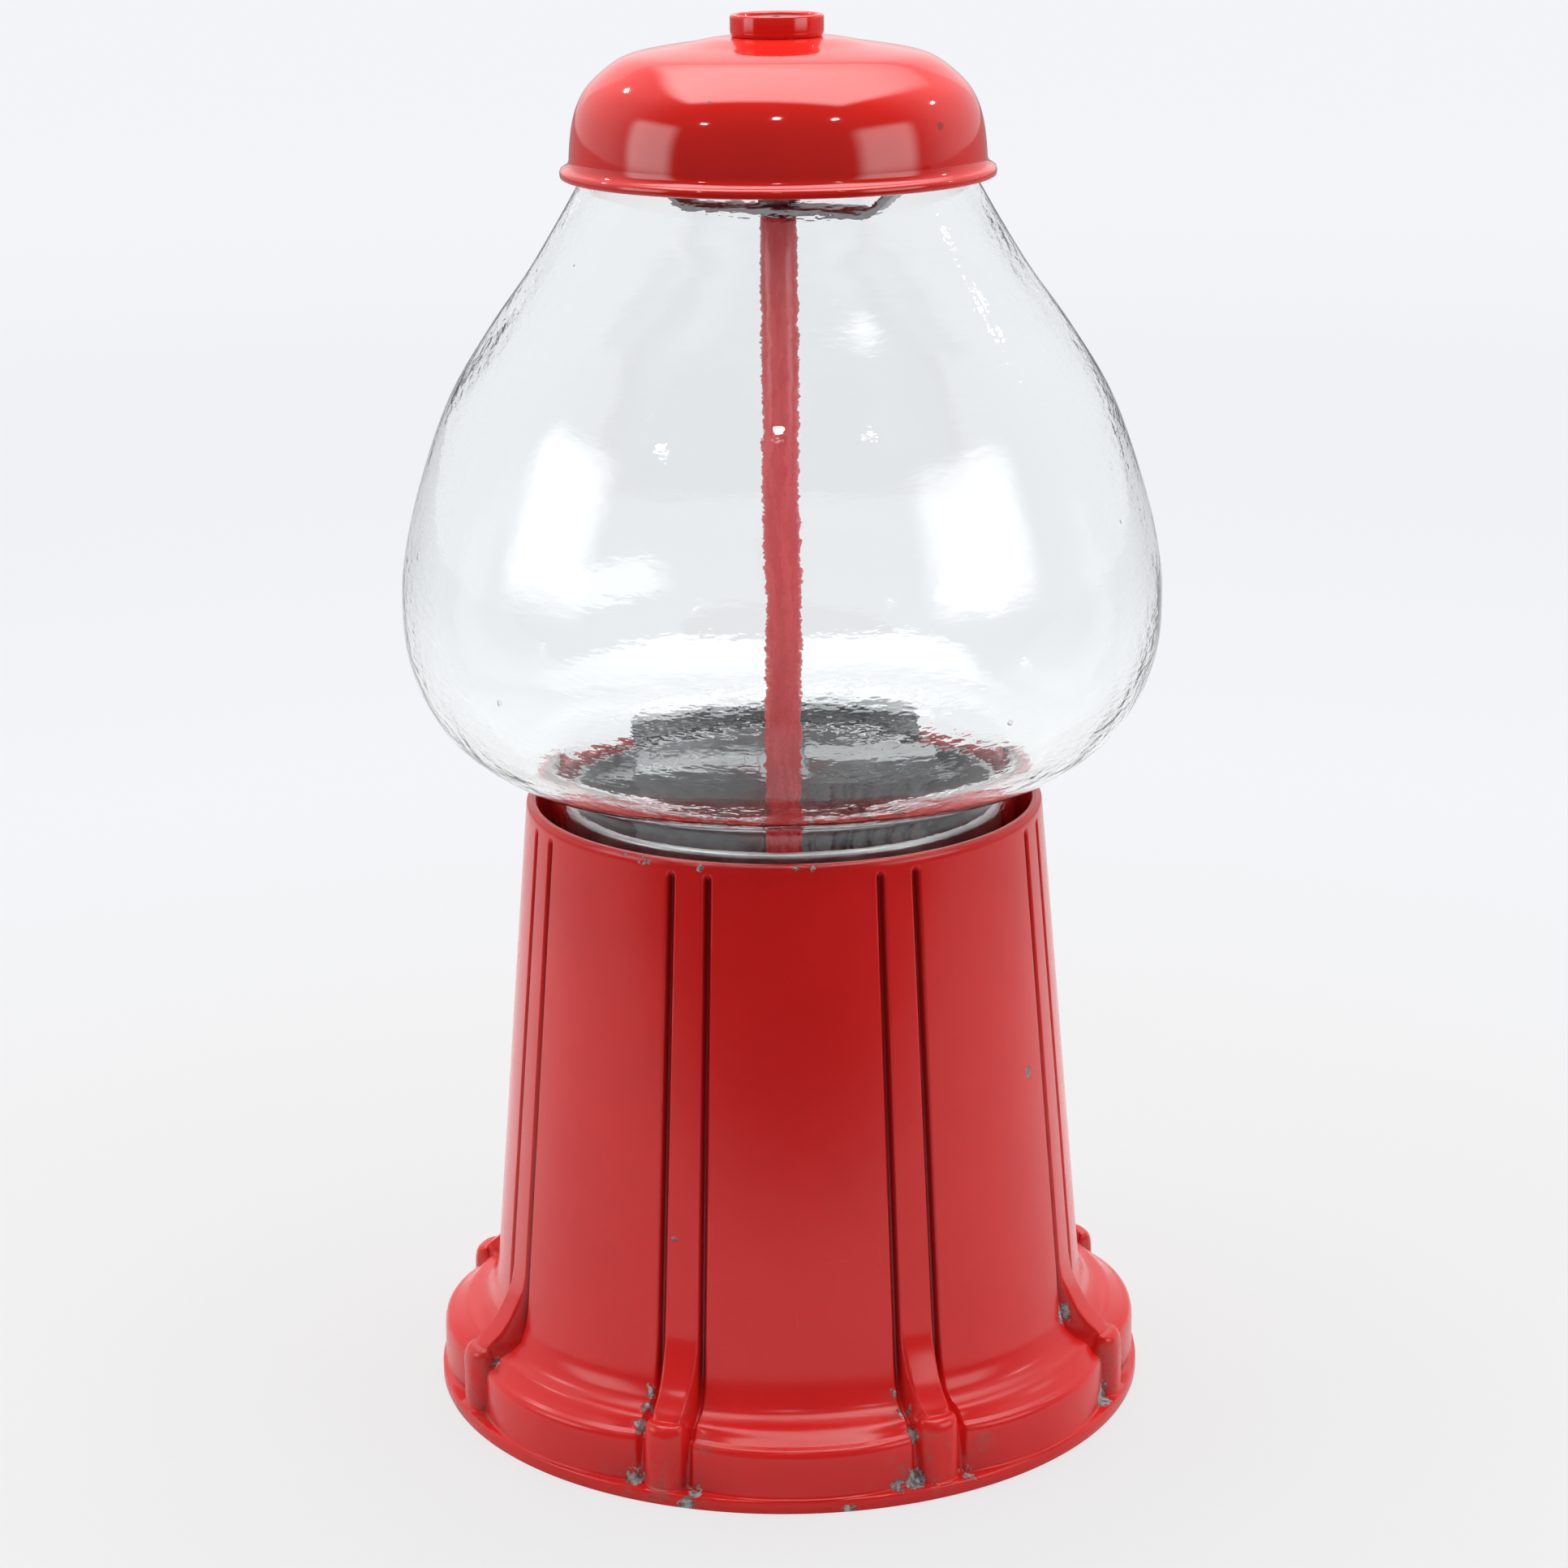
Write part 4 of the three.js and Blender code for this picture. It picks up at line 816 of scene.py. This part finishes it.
def painted_rod():
    """The rod, its rounded ends and its thinner threaded tip with a helical ripple."""
    count, rows = 48, 240
    tip = np.linspace(339.4, 355.3, rows)
    angle = full_turn(count)
    line = np.array([(0, 0.8), (4.6, 0.8), (ROD_R, 1.4), (ROD_R, 120), (ROD_R, 240), (ROD_R, 338.6), (4.8, 339.1),
                     (3.0, 339.2)])
    low_r, low_z = line[:, 0][:, None] + 0 * angle, line[:, 1][:, None] + 0 * angle
    thread = 2.88 + 0.12 * np.cos(2 * np.pi * tip[:, None] / 1.0 - angle[None])
    close = np.clip((355.3 - tip) / 0.6, 0, 1)[:, None]
    thread = thread * (0.75 + 0.25 * close)
    thread[-1] = 0
    r = np.vstack([low_r, thread])
    z = np.vstack([low_z, tip[:, None] + 0 * angle])
    return sheet_of("painted_rod", np.stack([r * np.cos(angle), r * np.sin(angle), z], -1), False, True)


# -------- hopper
def hopper_casting():
    outline = fillet(
        [(55, 138), (57.5, 138), (57.5, 142.9), (69.5, 142.9), (69.5, 146), (62.8, 146), (62.6, 176), (59.6, 176),
         (59.2, 153), (55, 149.5)], [0.4, 0.4, 0.4, 0.6, 0.6, 1.0, 1.5, 1.2, 2.5, 1.5], 5)
    return turned("hopper_casting", outline, 160)


def guard_casting():
    """Deck, raised box with a sunk panel, raised block with a lip over five round ribs, and the walls
    that come down to the wheel."""
    low = 147.6
    deck = drill(58.9, 169.4, 171.8, "Z", segments=128)
    deck.name = "guard_casting"
    pieces = [
        block("raised", (5.5, -38, 168), (43, -18, 175.4), 1.6, 4),
        block("raised", (-46, -42, 169.6), (-7.5, -24, 176.5), 0.7, 3),
        block("wall", (5.5, -21, low), (43, -18.1, 173), 0.5),
        block("wall", (-44, -32, low), (-7.5, -29, 172), 0.5),
        block("wall", (-7.6, -24, low), (5.6, -20.6, 171.7), 0.5),
        block("wall", (-10, -32, low), (-7.4, -21, 171.7), 0.5),
    ]
    pieces += [drill(2.5, low, 170.5, "Z", (-17.5 - i * 5.8, -28.8, 0), 24) for i in range(5)]
    cutters = [
        plain_box((-70, -20.4, 165), (5.4, 70, 171.9)),
        plain_box((-70, -17.9, 165), (70, 70, 180)),
        drill(6.4, 140, 180, "Z"),
        block("panel", (10, -34, 174.6), (38.5, -22, 180), 1.2),
    ]
    guard = cut(join(deck, *pieces), *cutters)
    ring = turned("cutter", [(59.0, 140), (75, 140), (75, 185), (59.0, 185)], 128)
    return cut(guard, ring)


# -------- coin mechanism
def housing_casting():
    """The box behind the face plate: rounded outside, open through, with a curved back wall round the
    glass neck and a coin slot in its top."""
    shell = block("housing_casting", (-HOUSING_X, -84.5, 26), (HOUSING_X, -56, 178), 1.8, 4)
    shell = cut(shell, plain_box((-41.7, -90, 29), (41.7, -50, 175)))
    back = turned("back", [(71.8, 137), (74.8, 137), (74.8, 177), (71.8, 177)], 160)
    back = cut(back, plain_box((-90, -50, 100), (90, 90, 190)), plain_box((42.5, -90, 100), (90, 90, 190)),
               plain_box((-90, -90, 100), (-42.5, 90, 190)))
    bosses = [block("boss", (x - 4.2, -84.5, z - 4.2), (x + 4.2, -74.6, z + 4.2), 0.8) for x, z in SCREW_PLACES]
    shell = join(shell, back, *bosses)
    holes = [drill(SCREW_HOLE_R, -90, -77, "Y", (x, 0, z), 24) for x, z in SCREW_PLACES]
    return cut(shell, drill(71.8, 100, 190, "Z", segments=160), drill(76, 175, 190, "Z", segments=160),
               plain_box((-13, -84.1, 170), (13, -81.3, 180)), *holes)


def rounded_rectangle(x, z_low, z_high, radius):
    return fillet([(-x, z_low), (x, z_low), (x, z_high), (-x, z_high)], radius, 8)


def face_plate():
    """Chrome front plate with a raised border, a sunk field and the openings for the shaft and chute."""
    holes = [ring_of(9, (0, SHAFT_Z)), rounded_rectangle(12.5, 37, 62.4, 0.8)]
    holes += [ring_of(SCREW_HOLE_R, place, 20) for place in SCREW_PLACES]
    back = plate("face_plate_chrome", [rounded_rectangle(HOUSING_X, *HOUSING_Z, 7), *holes], -87.2, -84.8, 0.3)
    border = plate("border", [rounded_rectangle(HOUSING_X, *HOUSING_Z, 7), rounded_rectangle(33, 29.5, 174.5, 4)],
                   FACE_Y, -86.6, 0.35)
    border = cut(border, *[drill(SCREW_HOLE_R, -95, -80, "Y", (x, 0, z), 20) for x, z in SCREW_PLACES])
    return join(back, border)


def screw(name, x, z, turn):
    """A pan-head screw: a domed head and a shank, with a slot turned by some angle."""
    front = FACE_Y - 2.3
    outline = [(0, front), (1.6, front + 0.05), (2.8, front + 0.35), (3.5, front + 1.0), (3.7, front + 1.6),
               (3.7, FACE_Y - 0.3), (1.8, FACE_Y - 0.3), (1.8, -78.8), (0, -78.8)]
    body = turned(name, outline, 48, False, "Y", (x, 0, z))
    slot = plain_box((-5, front - 2, -0.5), (5, front + 0.9, 0.5))
    slot.data.transform(Matrix.Translation((x * MM, 0, z * MM)) @ Matrix.Rotation(turn, 4, "Y"))
    return cut(body, slot)


def escutcheon():
    """A round plate with two turned beads."""
    outline = fillet(
        [(12.4, -88.3), (12.4, -89.6), (14, -89.6), (14.6, -90.1), (15.6, -90.1), (16.2, -89.4), (20.5, -89.4),
         (21.2, -90.1), (23, -90.1), (24, -89.3), (24, -88.3)], 0.4, 3)
    return turned("turned_escutcheon", outline, 96, axis="Y", centre=(0, 0, SHAFT_Z))


def bushing():
    outline = fillet([(5.2, -90.3), (12, -90.3), (12, -88.35), (8.7, -88.35), (8.7, -85), (5.2, -85)], 0.5, 3)
    return turned("brass_bushing", outline, 64, axis="Y", centre=(0, 0, SHAFT_Z))


def wing_knob():
    """A butterfly handle: superellipse sections along X whose height swells towards the tips and whose
    thickness thins there, on a turned hub."""
    rows, count = 72, 48
    t = np.linspace(-1, 1, rows)
    x = WING_X * np.sin(t * np.pi / 2)
    share = np.abs(x) / WING_X
    round_tip = np.sqrt(np.maximum(1 - np.clip((share - 0.64) / 0.36, 0, 1) ** 2, 0))
    tall = (5.8 + 3.3 * np.clip(share / 0.64, 0, 1) ** 2) * round_tip
    deep = (3.9 - 0.9 * share) * round_tip**0.6
    around = full_turn(count)
    c, s = np.cos(around), np.sin(around)
    power = 0.72
    z = tall[:, None] * np.sign(s) * np.abs(s) ** power + SHAFT_Z
    y = deep[:, None] * np.sign(c) * np.abs(c) ** power + KNOB_Y
    wing = sheet_of("wing_knob", np.stack([x[:, None] + 0 * z, y, z], -1), False, True, crease=70)
    hub = turned("hub", fillet(
        [(0, -105.9), (6.5, -105.9), (8.2, -104.5), (8.6, -97), (9.6, -94.5), (9.6, -90.8), (0, -90.8)],
        0.8, 4, closed=False), 64, False, "Y", (0, 0, SHAFT_Z))
    return cut(join(wing, hub), drill(5.2, -100.8, -85, "Y", (0, 0, SHAFT_Z)))


def flap_door():
    """The door's bowed leaf, its knuckle and a rolled finger lip, as one section drawn along X."""
    y, z = DOOR_PIN
    section = fillet(
        [(y + 0.8, z - 1.2), (y + 0.6, 50), (y + 0.8, 36.9), (y - 2.6, 36.7), (y - 4.2, 37.8), (y - 3.9, 39.2),
         (y - 2.2, 38.4), (y - 0.9, 39.4), (y - 1.3, 50), (y - 0.8, z - 1.2)],
        [0, 4, 0.5, 0.9, 0.7, 0.5, 1.0, 0.9, 4, 0], 4)
    leaf = soften(swept("flap_door", section, (-12.2, 12.2)), 0.25)
    knuckle = drill(1.9, -12.2, 12.2, "X", (0, y, z), 32)
    return cut(join(leaf, knuckle), drill(1.2, -20, 20, "X", (0, y, z), 24))


def door_frame():
    frame_plate = plate(
        "door_frame", [rounded_rectangle(18, 31.5, 68, 3), rounded_rectangle(12.7, 36.4, 64, 0.8)],
        FACE_Y - 4.3, FACE_Y - 0.3, 0.8)
    return cut(frame_plate, drill(1.2, -16, 16, "X", (0, *DOOR_PIN), 24))


def dress():
    """Replaces every CAD node that shows with a detailed piece and gives each other node its finish."""
    for node, thing in frame["nodes"].items():
        wear(thing, SLOT_OF[node])
    fit(pedestal_casting(), "pedestal_shell")
    fit(blown_globe(), "glass_globe")
    fit(mouth_bracket(), "globe_bracket")
    fit(nut("rod_nut", 12, 342.6, 347, 3.3), "bracket_nut", "dark_steel")
    fit(lid_pressing(), "lid")
    fit(lock_collar(), "lid_collar")
    fit(nut("sleeve_nut", 25, 380.4, 384.6, 10.7), "collar_nut")
    fit(lock_barrel(), "lock_core", "dark_steel")
    fit(painted_rod(), "centre_rod")
    fit(nut("foot_nut", 17, 2, 7.9, 5.5), "base_nut")
    fit(hopper_casting(), "hopper")
    fit(guard_casting(), "ball_guard")
    fit(housing_casting(), "mechanism_housing")
    fit(face_plate(), "face_plate")
    row_by_row = sorted(SCREW_PLACES, key=lambda place: place[1])
    for i, ((x, z), turn) in enumerate(zip(row_by_row, (0.3, 1.2, -0.5, 0.8)), 1):
        fit(screw(f"plate_screw_{i}", x, z, turn), f"face_plate_screw_{i}")
    fit(escutcheon(), "knob_escutcheon")
    fit(bushing(), "front_bushing")
    fit(wing_knob(), "knob")
    fit(flap_door(), "chute_door")
    fit(door_frame(), "chute_frame")


# -------- stage
CAMERA_AZIMUTH = math.radians(88.0)
CAMERA_DISTANCE = 0.98646
CAMERA_HEIGHT = 0.45974
CAMERA_PITCH = math.radians(15.958)
CAMERA_ROLL = math.radians(-0.541)
LENS = 82.21


def camera():
    """Looks level through the rod's axis from behind, tipped down by the pitch and rolled a little."""
    out = Vector((math.cos(CAMERA_AZIMUTH), math.sin(CAMERA_AZIMUTH), 0))
    forward = -out * math.cos(CAMERA_PITCH) - Vector((0, 0, math.sin(CAMERA_PITCH)))
    right = forward.cross(Vector((0, 0, 1))).normalized()
    up = right.cross(forward)
    roll_right = right * math.cos(CAMERA_ROLL) + up * math.sin(CAMERA_ROLL)
    roll_up = up * math.cos(CAMERA_ROLL) - right * math.sin(CAMERA_ROLL)
    eye = placed("camera", bpy.data.cameras.new("camera"))
    eye.matrix_world = Matrix.Translation(out * CAMERA_DISTANCE + Vector((0, 0, CAMERA_HEIGHT))) @ Matrix(
        (roll_right, roll_up, -forward)).transposed().to_4x4()
    eye.data.lens, eye.data.sensor_width = LENS, 36
    eye.data.clip_start = 0.05
    bpy.context.scene.camera = eye


def softbox(name, place, target, size, power, fade=0.0, dim=1.0):
    """An area light; its glow can fade at its edges over a share of its width, and be dim at one end."""
    light = bpy.data.lights.new(name, "AREA")
    light.shape, light.size, light.size_y, light.energy = "RECTANGLE", size[0], size[1], power
    lamp = placed(name, light)
    lamp.location = place
    lamp.rotation_euler = (Vector(target) - Vector(place)).to_track_quat("-Z", "Y").to_euler()
    if not fade:
        return
    n = fresh_nodes(light)
    across = n.add("SeparateXYZ", {0: n.add("NewGeometry").outputs["Parametric"]}).outputs
    strength = n.ramp(across[1], 0.0, 0.85, dim, 1.0)
    for value in across[:2]:
        inside = n.math("MINIMUM", value, n.minus(1.0, value))
        strength = n.times(strength, n.ramp(inside, 0.0, fade))
    glow = n.add("Emission", {"Strength": strength})
    n.tree.links.new(glow.outputs[0], n.add("OutputLight").inputs[0])


def seen_straight(n):
    """One for a ray from the camera, direct or through glass."""
    path = n.add("LightPath").outputs
    return n.math("MAXIMUM", path["Is Camera Ray"], path["Is Transmission Ray"])


def paper_floor():
    """Seen straight or through glass the paper is mostly its own pale light, so shadows on it stay faint, and that
    light is dimmer close to the object as a painted shadow round it; for every other ray it is plain white paper
    that ends on the camera's side."""
    paper = bpy.data.materials.new("paper")
    n = fresh_nodes(paper)
    seen = seen_straight(n)
    place = n.add("TexCoord").outputs["Object"]
    distance = n.add("VectorMath", {0: place}, operation="LENGTH").outputs["Value"]
    # painted shadow: the paper's glow is darker near the object and brighter far from it
    far = n.ramp(distance, 0.13, 0.75)
    away = n.ramp(n.part(place, 1), 0.35, 0.6)
    plain = n.mix(away, (0.72, 0.72, 0.73, 1), (0.04, 0.04, 0.042, 1))
    remote = n.ramp(distance, 0.7, 3.0)
    glow_with_painted_shadow = n.mix(far, (0.722, 0.718, 0.720, 1), (0.768, 0.778, 0.806, 1))
    glow = n.mix(remote, glow_with_painted_shadow, (0.850, 0.860, 0.893, 1))
    shader = n.add("BsdfPrincipled", {
        "Base Color": n.mix(seen, plain, (0.11, 0.11, 0.11, 1)), "Roughness": 1.0, "Specular IOR Level": 0.0,
        "Emission Color": glow, "Emission Strength": seen,
    })
    n.tree.links.new(shader.outputs[0], n.add("OutputMaterial").inputs[0])
    return paper


def surround():
    """Near white where it is seen straight or through glass; elsewhere a white backdrop behind the
    object and a dark room on the camera's side."""
    world = bpy.data.worlds.new("studio")
    bpy.context.scene.world = world
    n = fresh_nodes(world)
    seen = seen_straight(n)
    towards = n.part(n.add("TexCoord").outputs["Generated"], 1)
    strength = n.math("MAXIMUM", n.ramp(towards, 0.35, -0.40, 0.12, 0.80), n.times(seen, 0.92))
    back = n.add("Background", {"Color": (0.96, 0.975, 1.0, 1), "Strength": strength})
    n.tree.links.new(back.outputs[0], n.add("OutputWorld").inputs[0])


def stage():
    """A pale floor, a white surround and soft studio lights on every side."""
    floor = mesh_object("floor", [(-30, -30, 0), (30, -30, 0), (30, 30, 0), (-30, 30, 0)], np.array([[0, 1, 2, 3]]))
    floor.data.materials.append(paper_floor())
    surround()
    softbox("overhead", (-0.08, -0.37, 1.30), (-0.05, -0.25, 0.2), (1.5, 1.65), 38.5, 0.12, 0.12)
    softbox("left", (0.97, 0.24, 0.56), (0, 0, 0.33), (0.68, 0.66), 4.1, 0.25)
    softbox("right", (-0.88, 0.51, 0.55), (0, 0, 0.33), (0.84, 0.60), 4.5, 0.25)
    softbox("front", (0.0, -1.5, 0.9), (0, 0, 0.2), (1.6, 0.8), 1.0)
    spots = [(0.04, 0.80, 1.12), (0.70, 0.66, 0.97), (-0.50, 0.73, 1.07), (0.68, -0.66, 1.05), (-1.0, -0.35, 0.95)]
    for i, place in enumerate(spots):
        softbox(f"spot_{i}", place, (0, 0, 0.3), (0.06, 0.03), 0.35)
    bpy.context.scene.view_settings.view_transform = "Standard"


camera()
stage()
dress()
